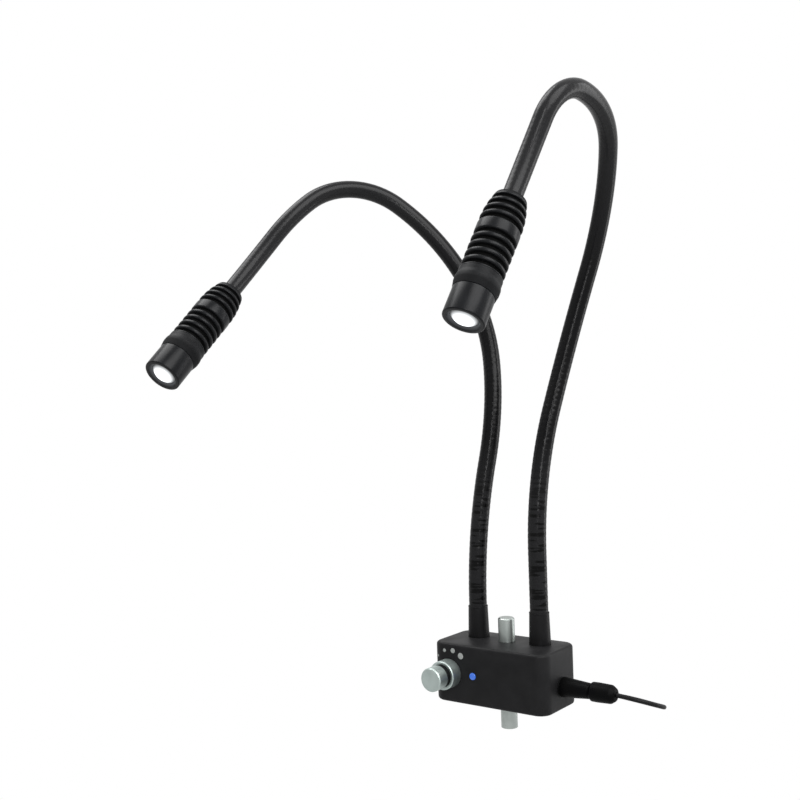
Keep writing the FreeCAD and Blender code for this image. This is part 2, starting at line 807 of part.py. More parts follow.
def make_lamp():
    """The blue indicator: a domed 5 mm lamp with its flange behind the wall."""
    body = new_body("indicator_led", x=lamp_x, y=front_face_y + size["Wall"], z=knob_z)
    stem = new_sketch(body, "stem", "XZ_Plane")
    draw_circle(stem, 0, 0, size["LampDiameter"])
    add_pad(body, stem, size["Wall"] + size["LampProud"])
    flange = new_sketch(body, "flange", "XZ_Plane")
    draw_circle(flange, 0, 0, size["LampFlange"])
    add_pad(body, flange, size["LampLength"] - size["Wall"] - size["LampProud"], back=True)
    radius = size["LampDiameter"].value / 2
    tip = -(size["Wall"] + size["LampProud"]).value
    round_edges(
        body,
        "dome",
        lambda edge, at: is_circle(edge, radius) and abs(at.y - tip) < 1e-6,
        1.1,
    )


def make_inlet():
    """The round power inlet: flange on the side face, body through it, blind bore."""
    body = new_body("power_inlet", x=side_face_x, y=inlet_y, z=inlet_z)
    flange = new_sketch(body, "flange", "YZ_Plane")
    draw_circle(flange, 0, 0, size["InletFlange"])
    add_pad(body, flange, size["InletFlangeThickness"])
    barrel = new_sketch(body, "barrel", "YZ_Plane")
    draw_circle(barrel, 0, 0, size["InletDiameter"])
    add_pad(body, barrel, size["InletLength"], back=True)
    bore = new_sketch(body, "bore", "YZ_Plane", size["InletFlangeThickness"])
    draw_circle(bore, 0, 0, size["InletBore"])
    add_pocket(body, bore, size["InletBoreDepth"] + size["InletFlangeThickness"])


# ---------------------------------------------------------------- plug and lead
plug_x = side_face_x + size["InletFlangeThickness"]
cord_exit_x = plug_x + size["PlugNoseLength"] + size["PlugBarrelLength"]


def make_plug():
    """The moulded plug: a tapered nose against the inlet, a round barrel and the contact
    sleeve inside the inlet."""
    contact = new_body("plug_contact", x=plug_x, y=inlet_y, z=inlet_z)
    sleeve = new_sketch(contact, "sleeve", "YZ_Plane")
    draw_circle(sleeve, 0, 0, size["PlugContactDiameter"])
    draw_circle(sleeve, 0, 0, size["PlugContactBore"])
    add_pad(contact, sleeve, size["PlugContactLength"], back=True)

    nose = new_body("plug_nose", x=plug_x, y=inlet_y, z=inlet_z)
    wide = size["PlugNoseWide"] / 2
    narrow = size["PlugNoseNarrow"] / 2
    half_section = new_sketch(nose, "half_section", "XY_Plane")
    draw_profile(
        half_section,
        ((0, 0), (size["PlugNoseLength"], 0), (size["PlugNoseLength"], narrow), (0, wide)),
    )
    turned = nose.newObject("PartDesign::Revolution", "plug_nose_turned")
    turned.Profile = half_section
    turned.ReferenceAxis = (half_section, ["H_Axis"])
    turned.Angle = 360

    barrel = new_body(
        "plug_barrel", x=plug_x + size["PlugNoseLength"], y=inlet_y, z=inlet_z
    )
    disc = new_sketch(barrel, "disc", "YZ_Plane")
    draw_circle(disc, 0, 0, size["PlugBarrelDiameter"])
    add_pad(barrel, disc, size["PlugBarrelLength"])
    radius = size["PlugBarrelDiameter"].value / 2
    round_edges(barrel, "ends", lambda edge, at: is_circle(edge, radius), size["PlugRound"])


# The lead's route, chosen by hand. It leaves the plug's barrel, turns back on itself and
# runs behind the box into its tied coil.
CORD_ROUTE = (
    (90.0, -5.0, 37.0),
    (99.9, -5.0, 36.1),
    (110.3, 0.7, 33.1),
    (114.7, 11.3, 28.8),
    (111.2, 22.4, 25.2),
    (101.3, 29.3, 23.6),
    (85.4, 31.5, 24.6),
    (68.0, 35.0, 24.4),
    (50.0, 37.0, 22.4),
    (33.0, 35.0, 19.4),
    (18.0, 30.8, 17.0),
    (4.0, 28.2, 15.9),
)


def make_cord():
    """The free stretch of the lead: straight runs joined by tangent arcs."""
    points = [Vector(*p) for p in CORD_ROUTE]
    points[0] = Vector(cord_exit_x.value, inlet_y.value, inlet_z.value)
    radius = size["CordDiameter"].value / 2
    edges = []
    begin = points[0]
    for before, corner, after in zip(points, points[1:], points[2:]):
        into = corner - before
        out = after - corner
        turn = into.getAngle(out)
        reach = 0.45 * min(into.Length, out.Length)
        start = corner - into.normalize() * reach
        end = corner + out.normalize() * reach
        bend = reach / math.tan(turn / 2)
        inward = (start + end) / 2 - corner
        saving = bend / math.cos(turn / 2) - bend
        middle = corner + inward.normalize() * saving
        print("cord bend radius %.1f mm, turn %.0f degrees" % (bend, math.degrees(turn)))
        edges.append(Part.LineSegment(begin, start).toShape())
        edges.append(Part.Arc(start, middle, end).toShape())
        begin = end
    edges.append(Part.LineSegment(begin, points[-1]).toShape())
    path = Part.Wire(edges)
    mouth = Part.Circle(points[0], points[1] - points[0], radius).toShape()
    tube = path.makePipeShell([Part.Wire([mouth])], True, False)
    cord = doc.addObject("Part::Feature", "cord")
    cord.Label = "cord"
    cord.Shape = tube
    expected = math.pi * radius ** 2 * path.Length
    print("cord length %.0f mm, volume share %.4f" % (path.Length, tube.Volume / expected))
    return path


# The coil hangs upright on the clamp screw's head, and the supply plug at the lead's far
# end is tied to its side.
coil_y = rear_face_y + size["TieThickness"] + size["SoftGap"] * 2 + size["EndPlugWidth"] / 2
coil_hole = size["CoilRingDiameter"] / 2 - size["CoilBundle"] / 2
coil_z = clamp_z - (coil_hole - size["ClampHeadDiameter"] / 2 - size["SoftGap"])
coil_side_x = -(size["CoilRingDiameter"] / 2 + size["CoilBundle"] / 2)
end_plug_x = coil_side_x - size["SoftGap"] - size["EndPlugThickness"] / 2


def make_coil():
    """The outer shape of the tied coil: a ring standing in an upright plane."""
    ring = doc.addObject("Part::Torus", "cord_coil")
    ring.Label = "cord_coil"
    bind(ring, "Radius1", size["CoilRingDiameter"] / 2)
    bind(ring, "Radius2", size["CoilBundle"] / 2)
    ring.Placement.Rotation = FreeCAD.Rotation(Vector(1, 0, 0), 90)
    bind(ring, "Placement.Base.y", coil_y)
    bind(ring, "Placement.Base.z", coil_z)


def make_tie():
    """The strap round the coil's left side and the supply plug."""
    low_x = end_plug_x - size["EndPlugThickness"] / 2 - size["SoftGap"]
    # Over the strap's width the coil curves inwards by this much.
    ring_rise = size["TieWidth"] * size["TieWidth"] / (coil_hole * 8)
    high_x = coil_side_x + size["CoilBundle"] + size["SoftGap"] + ring_rise
    inside_width = size["EndPlugWidth"] + size["SoftGap"] * 2
    thick = size["TieThickness"] * 2
    body = new_body(
        "coil_tie", x=(low_x + high_x) / 2, y=coil_y, z=coil_z - size["TieWidth"] / 2
    )
    outside = new_sketch(body, "outside")
    draw_rectangle(outside, 0, 0, high_x - low_x + thick, inside_width + thick)
    add_pad(body, outside, size["TieWidth"])
    round_edges(body, "outer_corners", lambda edge, at: is_upright(edge), size["TieRound"])
    inside = new_sketch(body, "inside")
    draw_rectangle(inside, 0, 0, high_x - low_x, inside_width)
    add_pocket(body, inside, size["TieWidth"], forward=True)
    half = (high_x - low_x).value / 2
    round_edges(
        body,
        "inner_corners",
        lambda edge, at: is_upright(edge) and abs(abs(at.x) - half) < 1e-6,
        size["TieRound"] - size["TieThickness"],
    )


def make_end_plug():
    """The lead's supply plug: a moulded grip with a tapered boot, and a flat metal shell
    with its contact tongue."""
    place = {"x": end_plug_x, "y": coil_y, "z": coil_z - size["EndPlugLength"] / 2}
    thick, wide, long = size["EndPlugThickness"], size["EndPlugWidth"], size["EndPlugLength"]
    grip = new_body("supply_plug_grip", **place)
    plan = new_sketch(grip, "plan")
    draw_rectangle(plan, 0, 0, thick, wide)
    add_pad(grip, plan, long)
    round_edges(grip, "corners", lambda edge, at: is_upright(edge), size["EndPlugRound"])
    boot = new_sketch(grip, "boot")
    draw_circle(boot, 0, 0, size["EndPlugBootDiameter"])
    add_pad(grip, boot, size["EndPlugBootLength"], back=True)

    place["z"] = place["z"] + long
    shell = new_body("supply_plug_shell", **place)
    outside = new_sketch(shell, "outside")
    draw_rectangle(outside, 0, 0, size["EndShellThickness"], size["EndShellWidth"])
    add_pad(shell, outside, size["EndShellLength"])
    inside = new_sketch(shell, "inside", "XY_Plane", size["EndShellLength"])
    wall = size["EndShellWall"] * 2
    draw_rectangle(
        inside, 0, 0, size["EndShellThickness"] - wall, size["EndShellWidth"] - wall
    )
    add_pocket(shell, inside, size["EndShellLength"] - size["EndShellWall"])
    tongue = new_sketch(shell, "tongue")
    across = (size["EndTongueThickness"] + size["EndShellWall"] * 2) / 2
    draw_rectangle(
        tongue,
        size["EndShellThickness"] / 2 - across,
        0,
        size["EndTongueThickness"],
        size["EndShellWidth"] - wall,
    )
    add_pad(shell, tongue, size["EndShellLength"] - size["EndShellWall"])


# ---------------------------------------------------------------- goosenecks
class Track:
    """A moving frame that follows a gooseneck's centre line: a place, the way ahead, and
    the side towards which the next bend leans."""

    def __init__(self, place, ahead, lean):
        self.place = place
        self.ahead = ahead
        self.lean = lean

    def turned(self, degrees):
        angle = math.radians(degrees)
        side = self.ahead.cross(self.lean)
        lean = self.lean * math.cos(angle) + side * math.sin(angle)
        return Track(self.place, self.ahead, lean)

    def moved(self, length, bend):
        """The frame after an arc of this length and bend in degrees."""
        angle = math.radians(bend)
        if abs(angle) < 1e-9:
            return Track(self.place + self.ahead * length, self.ahead, self.lean)
        radius = length / angle
        place = (
            self.place
            + self.ahead * (radius * math.sin(angle))
            + self.lean * (radius * (1 - math.cos(angle)))
        )
        ahead = self.ahead * math.cos(angle) + self.lean * math.sin(angle)
        lean = self.lean * math.cos(angle) - self.ahead * math.sin(angle)
        return Track(place, ahead, lean)


def rod_piece(name, track, radius, start, length):
    """A straight round piece along the frame, from start millimetres ahead of it."""
    piece = doc.addObject("Part::Cylinder", name)
    bind(piece, "Radius", radius)
    bind(piece, "Height", length)
    begin = track.place + track.ahead * as_dim(start).value
    piece.Placement = axes_place(begin, track.lean, track.ahead)
    return piece


def arc_piece(name, track, radius, row, start, end):
    """The stretch of one bend row between two distances along it, as a round bar."""
    length, bend, turn = row
    start, end = as_dim(start), as_dim(end)
    if abs(bend.value) < 1e-9:
        return rod_piece(name, track, radius, start, end - start)
    bend_radius = length / (bend * (math.pi / 180))
    piece = doc.addObject("Part::Torus", name)
    bind(piece, "Radius1", bend_radius)
    bind(piece, "Radius2", radius)
    bind(piece, "Angle3", (end - start) / bend_radius * (180 / math.pi))
    centre = track.place + track.lean * bend_radius.value
    entry = track.moved(start.value, math.degrees(start.value / bend_radius.value))
    piece.Placement = axes_place(centre, entry.lean * -1, entry.ahead.cross(entry.lean))
    return piece


def ball_piece(name, track, radius, tail=None):
    """A ball on the frame; with a tail it is cut off flat that far behind its centre."""
    piece = doc.addObject("Part::Sphere", name)
    bind(piece, "Radius", radius)
    piece.Placement = axes_place(track.place, track.lean, track.ahead)
    if tail is not None:
        share = as_dim(tail).value / as_dim(radius).value
        piece.Angle1 = -math.degrees(math.asin(share))
    return piece


def fused(name, pieces):
    if len(pieces) == 1:
        return pieces[0]
    join = doc.addObject("Part::MultiFuse", name)
    join.Shapes = pieces
    join.Refine = True
    return join


def cut_from(name, base, tool):
    cut = doc.addObject("Part::Cut", name)
    cut.Base = base
    cut.Tool = tool
    return cut


def round_run(stem, track, rows, radius, start, end_cut, before=0, after=0):
    """Bars along all rows of one link, from start on its first row to end_cut short of the
    end of its last row, with straight stubs before and after."""
    pieces = []
    here = track
    for step, row in enumerate(rows):
        length, bend, turn = row
        here = here.turned(turn.value)
        first = start if step == 0 else 0
        last = length - end_cut if step == len(rows) - 1 else length
        name = "%s_arc_%d" % (stem, step + 1)
        pieces.append(arc_piece(name, here, radius, row, first, last))
        if step == 0 and as_dim(before).value > 0:
            pieces.append(
                rod_piece(stem + "_before", here, radius, as_dim(start) - before, before)
            )
        here = here.moved(length.value, bend.value)
    if as_dim(after).value > 0:
        pieces.append(rod_piece(stem + "_after", here, radius, -as_dim(end_cut), after))
    return pieces, here


def make_neck(side, links):
    """One gooseneck: hose links with a ball at their lower end and a cup at their upper
    end, and a wire through each. Returns the frame at the light head's rear face."""
    across = size["NeckPitch"] / 2 * (-1 if side == "left" else 1)
    foot = Vector(
        across.value,
        size["NeckSetback"].value,
        (box_top + size["NeckFirstRise"]).value,
    )
    track = Track(foot, Vector(0, 0, 1), Vector(0, -1, 0))
    hose = size["NeckDiameter"] / 2
    bore = size["NeckBore"] / 2
    ball = size["NeckBallDiameter"] / 2
    wire = size["WireDiameter"] / 2
    wire_stop = wire + size["WireEndGap"]
    shoulder = size["NeckShoulder"]
    reach = ball + 1
    joints = []
    for number, rows in enumerate(links, 1):
        label = "%s_neck_%d" % (side, number)
        first = number == 1
        last = number == len(links)
        start = 0 if first else shoulder
        before = size["NeckFirstRise"] - size["SleeveFloor"] if first else 0
        after = size["NeckPlugIn"] if last else 0
        solid, end = round_run(label, track, rows, hose, start, 0, before, after)
        if not first:
            joints.append((label, track.place, track.turned(rows[0][2].value)))
            solid.append(ball_piece(label + "_ball", track, ball, size["NeckBallTail"]))
        tools, _ = round_run(
            label + "_bore",
            track,
            rows,
            bore,
            0,
            0,
            before + 1 if first else reach,
            after + 1 if last else reach,
        )
        if not last:
            cup = ball + size["NeckBallGap"]
            tools.append(ball_piece(label + "_cup", end, cup))
        hose_link = cut_from(
            label, fused(label + "_solid", solid), fused(label + "_tools", tools)
        )
        hose_link.Label = label

        wire_label = "%s_wire_%d" % (side, number)
        tail = before + size["SleeveFloor"] + size["Wall"] + size["WireTail"] if first else 0
        lead = light_board_seat - size["WireEndGap"] if last else 0
        strands, _ = round_run(
            wire_label,
            track,
            rows,
            wire,
            0 if first else wire_stop,
            0 if last else wire_stop,
            tail,
            lead,
        )
        if not first:
            begin = track.turned(rows[0][2].value)
            begin = begin.moved(wire_stop.value, wire_stop.value * rate_of(rows[0]))
            strands.append(ball_piece(wire_label + "_start", begin, wire))
        if not last:
            length, bend, turn = rows[-1]
            stop = end.moved(-wire_stop.value, -wire_stop.value * rate_of(rows[-1]))
            strands.append(ball_piece(wire_label + "_end", stop, wire))
        strand = fused(wire_label, strands)
        strand.Label = wire_label
        track = end
    for label, place, frame in joints:
        print(
            "joint at %s: (%.2f, %.2f, %.2f) ahead (%.4f, %.4f, %.4f) lean (%.4f, %.4f, %.4f)"
            % (label, *place, *frame.ahead, *frame.lean)
        )
    return track


def rate_of(row):
    """Degrees of bend for each millimetre of a row."""
    length, bend, turn = row
    return bend.value / length.value


light_board_seat = size["SinkLength"] + size["SinkSpigotLength"]


def make_sleeve(side):
    """The tapered sleeve that holds a gooseneck on the box, with its threaded stem."""
    across = size["NeckPitch"] / 2 * (-1 if side == "left" else 1)
    body = new_body(side + "_neck_sleeve", x=across, y=size["NeckSetback"], z=box_top)
    height = size["SleeveHeight"]
    foot = size["SleeveFootDiameter"] / 2
    rim = size["SleeveTopDiameter"] / 2
    lip = size["SleeveLip"]
    bore = size["NeckDiameter"] / 2 + size["NeckClearance"]
    floor = size["SleeveFloor"]
    stem = size["SleeveStemDiameter"] / 2
    drop = size["Wall"] + size["NeckNutHeight"] + 0.5
    passage = size["NeckBore"] / 2
    add_turned(
        body,
        "half_section",
        (
            (passage, -drop),
            (stem, -drop),
            (stem, 0),
            (foot, 0),
            (rim, height - lip),
            (rim + size["SleeveLipRise"], height - lip * 0.7),
            (rim + size["SleeveLipRise"], height),
            (bore, height),
            (bore, floor),
            (passage, floor),
        ),
    )


def make_neck_nuts():
    """The two hexagon nuts inside the box that hold the sleeves' stems."""
    body = new_body("neck_nuts", y=size["NeckSetback"], z=box_top - size["Wall"])
    hexagons = new_sketch(body, "hexagons")
    corner = size["NeckNutWidth"] / math.sqrt(3)
    for side in (-1, 1):
        middle = size["NeckPitch"] / 2 * side
        points = []
        for step in range(6):
            angle = math.radians(60 * step)
            points.append((middle + corner * math.cos(angle), corner * math.sin(angle)))
        draw_profile(hexagons, points)
        draw_circle(
            hexagons, middle, 0, size["SleeveStemDiameter"] + size["NeckClearance"] * 2
        )
    add_pad(body, hexagons, size["NeckNutHeight"], back=True)


# ---------------------------------------------------------------- light heads
def make_head(side, track):
    """One light head, built upwards from its rear face and then laid on the gooseneck."""
    place = axes_place(track.place, track.lean, track.ahead)

    def head_body(name):
        body = doc.addObject("PartDesign::Body", "%s_%s" % (side, name))
        body.Label = "%s_%s" % (side, name)
        body.Placement = place
        return body

    sink_r = size["SinkDiameter"] / 2
    sink = head_body("heat_sink")
    spigot = size["SinkSpigotDiameter"] / 2
    length = size["SinkLength"]
    socket = size["NeckDiameter"] / 2 + size["NeckClearance"]
    passage = size["NeckBore"] / 2
    rear_r = size["SinkRearDiameter"] / 2
    taper = size["SinkTaper"]
    bow = size["SinkBow"]
    rise = sink_r - rear_r
    bow_radius = ((taper * taper + rise * rise) / 4 + bow * bow) / (bow * 2)
    add_turned(
        sink,
        "half_section",
        (
            (socket, 0),
            (rear_r, 0, bow_radius),
            (sink_r, taper),
            (sink_r, length),
            (spigot, length),
            (spigot, light_board_seat),
            (passage, light_board_seat),
            (passage, size["NeckPlugIn"]),
            (socket, size["NeckPlugIn"]),
        ),
    )
    # Cooling grooves: four follow the bowed rear, five stand on the straight front.
    half = size["FinGrooveWidth"] / 2
    for group, count in (("Rear", 4), ("Front", 5)):
        for step in range(count):
            at = size[group + "GrooveStart"] + size[group + "GroovePitch"] * step
            skin = sink_r
            if group == "Rear":
                share = at / taper
                skin = rear_r + rise * share + bow * 4 * share * (as_dim(1) - share)
            floor = skin - size["FinGrooveDepth"]
            clear = sink_r + size["FinGrooveDepth"]
            add_turned(
                sink,
                "%s_groove_%d" % (group.lower(), step + 1),
                (
                    (floor, at - half),
                    (clear, at - half),
                    (clear, at + half),
                    (floor, at + half),
                ),
                groove=True,
            )

    # The collar carries the sink's skin on, widens in the middle and slants down in front.
    collar_r = size["HeadCollarDiameter"] / 2
    collar_front_r = size["HeadCollarFrontDiameter"] / 2
    collar_end = length + size["HeadCollarLength"]
    wide_start = length + size["HeadCollarRing"]
    bevel = size["HeadCollarBevel"]
    inner = collar_r - size["HeadCollarWall"]
    add_turned(
        head_body("head_collar"),
        "half_section",
        (
            (spigot + size["NeckClearance"], length),
            (sink_r, length),
            (sink_r, wide_start),
            (collar_r, wide_start + bevel),
            (collar_r, collar_end - size["HeadCollarSlant"]),
            (collar_front_r, collar_end),
            (inner, collar_end),
            (inner, light_board_seat + 1),
            (spigot + size["NeckClearance"], light_board_seat + 1),
        ),
    )

    board = head_body("light_board")
    disc = new_sketch(board, "disc", "XY_Plane", light_board_seat)
    draw_circle(disc, 0, 0, size["LightBoardDiameter"])
    add_pad(board, disc, size["LightBoardThickness"])
    chip = new_sketch(board, "chip", "XY_Plane", light_board_seat + size["LightBoardThickness"])
    draw_circle(chip, 0, 0, size["EmitterDiameter"])
    add_pad(board, chip, size["EmitterHeight"])

    barrel_r = size["BarrelDiameter"] / 2
    tail_r = inner - size["BarrelTailGap"]
    tail_start = collar_end - size["BarrelTailLength"]
    front = collar_end + size["BarrelLength"]
    tube_bore = tail_r - size["BarrelWall"]
    mouth = size["BarrelMouthDiameter"] / 2
    lens_front = front - size["BarrelMouthDepth"]
    barrel = head_body("focus_barrel")
    add_turned(
        barrel,
        "half_section",
        (
            (tube_bore, tail_start),
            (tail_r, tail_start),
            (tail_r, collar_end + size["NeckClearance"]),
            (barrel_r, collar_end + size["NeckClearance"]),
            (barrel_r, front),
            (mouth + size["BarrelMouthDepth"] * 0.5, front),
            (mouth, lens_front),
            (tube_bore, lens_front),
        ),
    )
    rim = barrel_r.value
    top = front.value
    round_edges(
        barrel,
        "rim",
        lambda edge, at: is_circle(edge, rim) and abs(at.z - top) < 1e-6,
        size["BarrelRound"],
    )

    lens_r = tube_bore - size["LensGap"]
    lens_rear = lens_front - size["LensEdge"]
    dome_foot = mouth - size["LensGap"]
    dome = size["LensDome"]
    dome_radius = (dome_foot * dome_foot + dome * dome) / (dome * 2)
    add_turned(
        head_body("lens"),
        "half_section",
        (
            (0, lens_rear),
            (lens_r, lens_rear),
            (lens_r, lens_front),
            (dome_foot, lens_front, dome_radius),
            (0, lens_front + dome),
        ),
    )
    ring_start = lens_rear - size["LensRingLength"]
    add_turned(
        head_body("lens_ring"),
        "half_section",
        (
            (lens_r - size["LensRingWall"], ring_start),
            (lens_r, ring_start),
            (lens_r, lens_rear),
            (lens_r - size["LensRingWall"], lens_rear),
        ),
    )
    print(
        "%s head axis (%.4f, %.4f, %.4f), rear (%.2f, %.2f, %.2f)"
        % (side, *track.ahead, *track.place)
    )


# ---------------------------------------------------------------- build
make_rod()
make_bush()
make_clamp_screw()
make_housing()
make_cover()
make_cover_screws()
make_board()
make_board_screws()
make_inductor()
make_capacitors()
make_dial()
make_knob()
make_lamp()
make_inlet()
make_plug()
make_cord()
make_coil()
make_tie()
make_end_plug()
make_neck_nuts()
for neck_side, neck_links in (("left", left_links), ("right", right_links)):
    make_sleeve(neck_side)
    make_head(neck_side, make_neck(neck_side, neck_links))

doc.recompute()

NODES = (
    ["mounting_rod", "rod_bush", "clamp_screw", "housing", "rear_cover", "cover_screws"]
    + ["driver_board", "board_screws", "inductor", "capacitors", "potentiometer"]
    + ["potentiometer_shaft", "knob_collar", "knob_core", "knob_cap", "indicator_led"]
    + ["power_inlet", "plug_contact", "plug_nose", "plug_barrel", "cord", "cord_coil"]
    + ["coil_tie", "supply_plug_grip", "supply_plug_shell", "neck_nuts"]
)
for neck_side in ("left", "right"):
    NODES.append(neck_side + "_neck_sleeve")
    for number in range(1, 6):
        NODES.append("%s_neck_%d" % (neck_side, number))
        NODES.append("%s_wire_%d" % (neck_side, number))
    for name in ("heat_sink", "head_collar", "light_board", "focus_barrel", "lens", "lens_ring"):
        NODES.append("%s_%s" % (neck_side, name))

faulty = [thing.Label for thing in doc.Objects if {"Invalid", "Error"} & set(thing.State)]
if faulty:
    raise RuntimeError("these objects failed: %s" % ", ".join(faulty))

os.makedirs("parts", exist_ok=True)
for label in NODES:
    part = doc.getObjectsByLabel(label)[0]
    shape = part.Shape
    if shape.isNull() or not shape.isValid():
        raise RuntimeError("the shape of %s is not valid" % label)
    shape.exportStep("parts/%s.step" % label)
    print("%-20s %d solid(s), %9.1f mm3" % (label, len(shape.Solids), shape.Volume))
print("%d nodes" % len(NODES))
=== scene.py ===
# %% [markdown]
# # Twin gooseneck illuminator: the looks
#
# The imported CAD model is the frame. Each piece that shows is modelled here at the place
# where the frame holds it and gets a procedural material, and all but the hose skins ride
# on their bodies. The inner pieces, which only show when the box is opened, keep their CAD
# meshes and get materials.
#
# Sizes are written in millimetres and turned into metres where a mesh is placed.

import bmesh
import bpy
import math
from mathutils import Matrix, Vector


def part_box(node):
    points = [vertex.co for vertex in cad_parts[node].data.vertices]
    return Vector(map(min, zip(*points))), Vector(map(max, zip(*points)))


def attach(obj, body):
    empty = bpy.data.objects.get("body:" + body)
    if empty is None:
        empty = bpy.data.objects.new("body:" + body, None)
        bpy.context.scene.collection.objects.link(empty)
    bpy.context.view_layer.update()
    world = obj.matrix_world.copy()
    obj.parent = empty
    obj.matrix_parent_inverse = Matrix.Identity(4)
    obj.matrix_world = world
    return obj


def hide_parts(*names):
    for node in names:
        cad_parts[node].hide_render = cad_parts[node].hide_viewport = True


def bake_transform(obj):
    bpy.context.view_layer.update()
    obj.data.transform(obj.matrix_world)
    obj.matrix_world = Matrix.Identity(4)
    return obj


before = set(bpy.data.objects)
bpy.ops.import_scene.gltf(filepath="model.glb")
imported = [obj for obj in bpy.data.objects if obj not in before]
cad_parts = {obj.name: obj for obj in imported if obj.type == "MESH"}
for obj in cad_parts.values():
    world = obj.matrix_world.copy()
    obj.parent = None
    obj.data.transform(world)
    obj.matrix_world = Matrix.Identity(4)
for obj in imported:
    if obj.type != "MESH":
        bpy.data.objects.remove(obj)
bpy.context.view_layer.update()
MM = 0.001


def add_object(name, data):
    """A new object at the origin, linked to the scene."""
    made = bpy.data.objects.new(name, data)
    bpy.context.scene.collection.objects.link(made)
    return made


# %% [markdown]
# ## Camera
#
# The camera looks at the object from its front right, a little above level, through a
# normal lens. Its turn, lift and roll give its three axes, which make up its matrix: that
# is easier to read than one rotation typed as three Euler angles.

# %% Camera
CAMERA_PLACE = (423.4, -680.3, 251.1)
VIEW_TURN = math.radians(37.05)
VIEW_LIFT = math.radians(0.74)
VIEW_ROLL = math.radians(-1.91)
FOCAL_LENGTH = 49.44
SENSOR_WIDTH = 36.0


def make_camera():
    back = Vector(
        (
            math.sin(VIEW_TURN) * math.cos(VIEW_LIFT),
            -math.cos(VIEW_TURN) * math.cos(VIEW_LIFT),
            math.sin(VIEW_LIFT),
        )
    )
    level = Vector((math.cos(VIEW_TURN), math.sin(VIEW_TURN), 0))
    upright = back.cross(level)
    right = level * math.cos(VIEW_ROLL) + upright * math.sin(VIEW_ROLL)
    up = upright * math.cos(VIEW_ROLL) - level * math.sin(VIEW_ROLL)
    data = bpy.data.cameras.new("camera")
    data.lens = FOCAL_LENGTH
    data.sensor_width = SENSOR_WIDTH
    data.sensor_fit = "HORIZONTAL"
    camera = add_object("camera", data)
    camera.matrix_world = Matrix.Translation(Vector(CAMERA_PLACE) * MM) @ (
        Matrix((right, up, back)).transposed().to_4x4()
    )
    bpy.context.scene.camera = camera


make_camera()
print("camera: %.1f mm lens" % FOCAL_LENGTH)

# %% [markdown]
# ## Material tools
#
# A colour is written as a hex value, as a paint program shows it, and one function turns
# it into the linear light that Blender works with. Another adds a node with its settings
# and links. The rest are short steps that every finish below is put together from.


# %% Material tools
def linear(colour):
    """A hex colour such as "#1b1c1d" as linear red, green, blue and alpha, by the sRGB
    curve."""
    values = []
    for start in (1, 3, 5):
        share = int(colour[start : start + 2], 16) / 255
        values.append(
            share / 12.92 if share <= 0.04045 else ((share + 0.055) / 1.055) ** 2.4
        )
    return (*values, 1.0)


def add_node(material, kind, inputs=None, **settings):
    """A new node. An input is given a number, a colour or another node's output."""
    made = material.node_tree.nodes.new(kind)
    for name, value in settings.items():
        setattr(made, name, value)
    for name, value in (inputs or {}).items():
        if isinstance(value, bpy.types.NodeSocket):
            material.node_tree.links.new(value, made.inputs[name])
        else:
            made.inputs[name].default_value = value
    return made


def plain_material(name, colour, roughness, specular=0.5, metallic=0.0):
    """A Principled material and its shader, with the constants on the shader's sockets."""
    material = bpy.data.materials.new(name)
    material.use_nodes = True
    shader = material.node_tree.nodes["Principled BSDF"]
    shader.inputs["Base Color"].default_value = linear(colour)
    shader.inputs["Roughness"].default_value = roughness
    shader.inputs["Specular IOR Level"].default_value = specular
    shader.inputs["Metallic"].default_value = metallic
    return material, shader


def feed(material, output, shader, socket):
    material.node_tree.links.new(output, shader.inputs[socket])


def noise(material, grain_mm, detail=3.0, stretch=None, place=None):
    """Noise whose grain is that many millimetres across, on Object coordinates or on a
    given place."""
    if place is None:
        place = add_node(material, "ShaderNodeTexCoord").outputs["Object"]
    if stretch:
        mapping = add_node(material, "ShaderNodeMapping", {"Vector": place, "Scale": stretch})
        place = mapping.outputs["Vector"]
    inputs = {"Vector": place, "Scale": 1 / (grain_mm * MM), "Detail": detail}
    return add_node(material, "ShaderNodeTexNoise", inputs).outputs["Fac"]


def tint(material, shader, fac, dark, light, low=0.35, high=0.65):
    """The base colour runs from dark to light as fac goes from low to high."""
    ramp = add_node(material, "ShaderNodeValToRGB", {"Fac": fac})
    for stop, place, colour in zip(ramp.color_ramp.elements, (low, high), (dark, light)):
        stop.position = place
        stop.color = linear(colour)
    feed(material, ramp.outputs["Color"], shader, "Base Color")
    return ramp.outputs["Color"]


def darken(material, shader, colour, share):
    """The base colour falls from colour to black with share."""
    inputs = {0: share, 6: colour, 7: (0, 0, 0, 1)}
    mix = add_node(material, "ShaderNodeMix", inputs, data_type="RGBA")
    feed(material, mix.outputs[2], shader, "Base Color")


def vary_roughness(material, shader, fac, smooth, rough):
    inputs = {"Value": fac, "From Min": 0.3, "From Max": 0.7, "To Min": smooth, "To Max": rough}
    spread = add_node(material, "ShaderNodeMapRange", inputs)
    feed(material, spread.outputs["Result"], shader, "Roughness")


def bumpy(material, shader, height, depth_mm, strength=1.0):
    inputs = {"Height": height, "Distance": depth_mm * MM, "Strength": strength}
    bump = add_node(material, "ShaderNodeBump", inputs)
    feed(material, bump.outputs["Normal"], shader, "Normal")


print("material tools ready")

# %% [markdown]
# ## Moulded plastic and bare metal
#
# Moulded plastic takes the fine grain of its mould, and its sheen drifts a little from
# patch to patch. Bare metal keeps the lines of the tool that drew or turned it. Both could
# be painted as images, but noise on the object's own coordinates has the same scale on
# every piece and needs no unwrapping. For the metal it is stretched along the tool's way.

# %% Plastic and metal
SATIN = 0.1
MATT = 0.05
PATCH_MM = 14.0
CLOUD_MM = 9.0


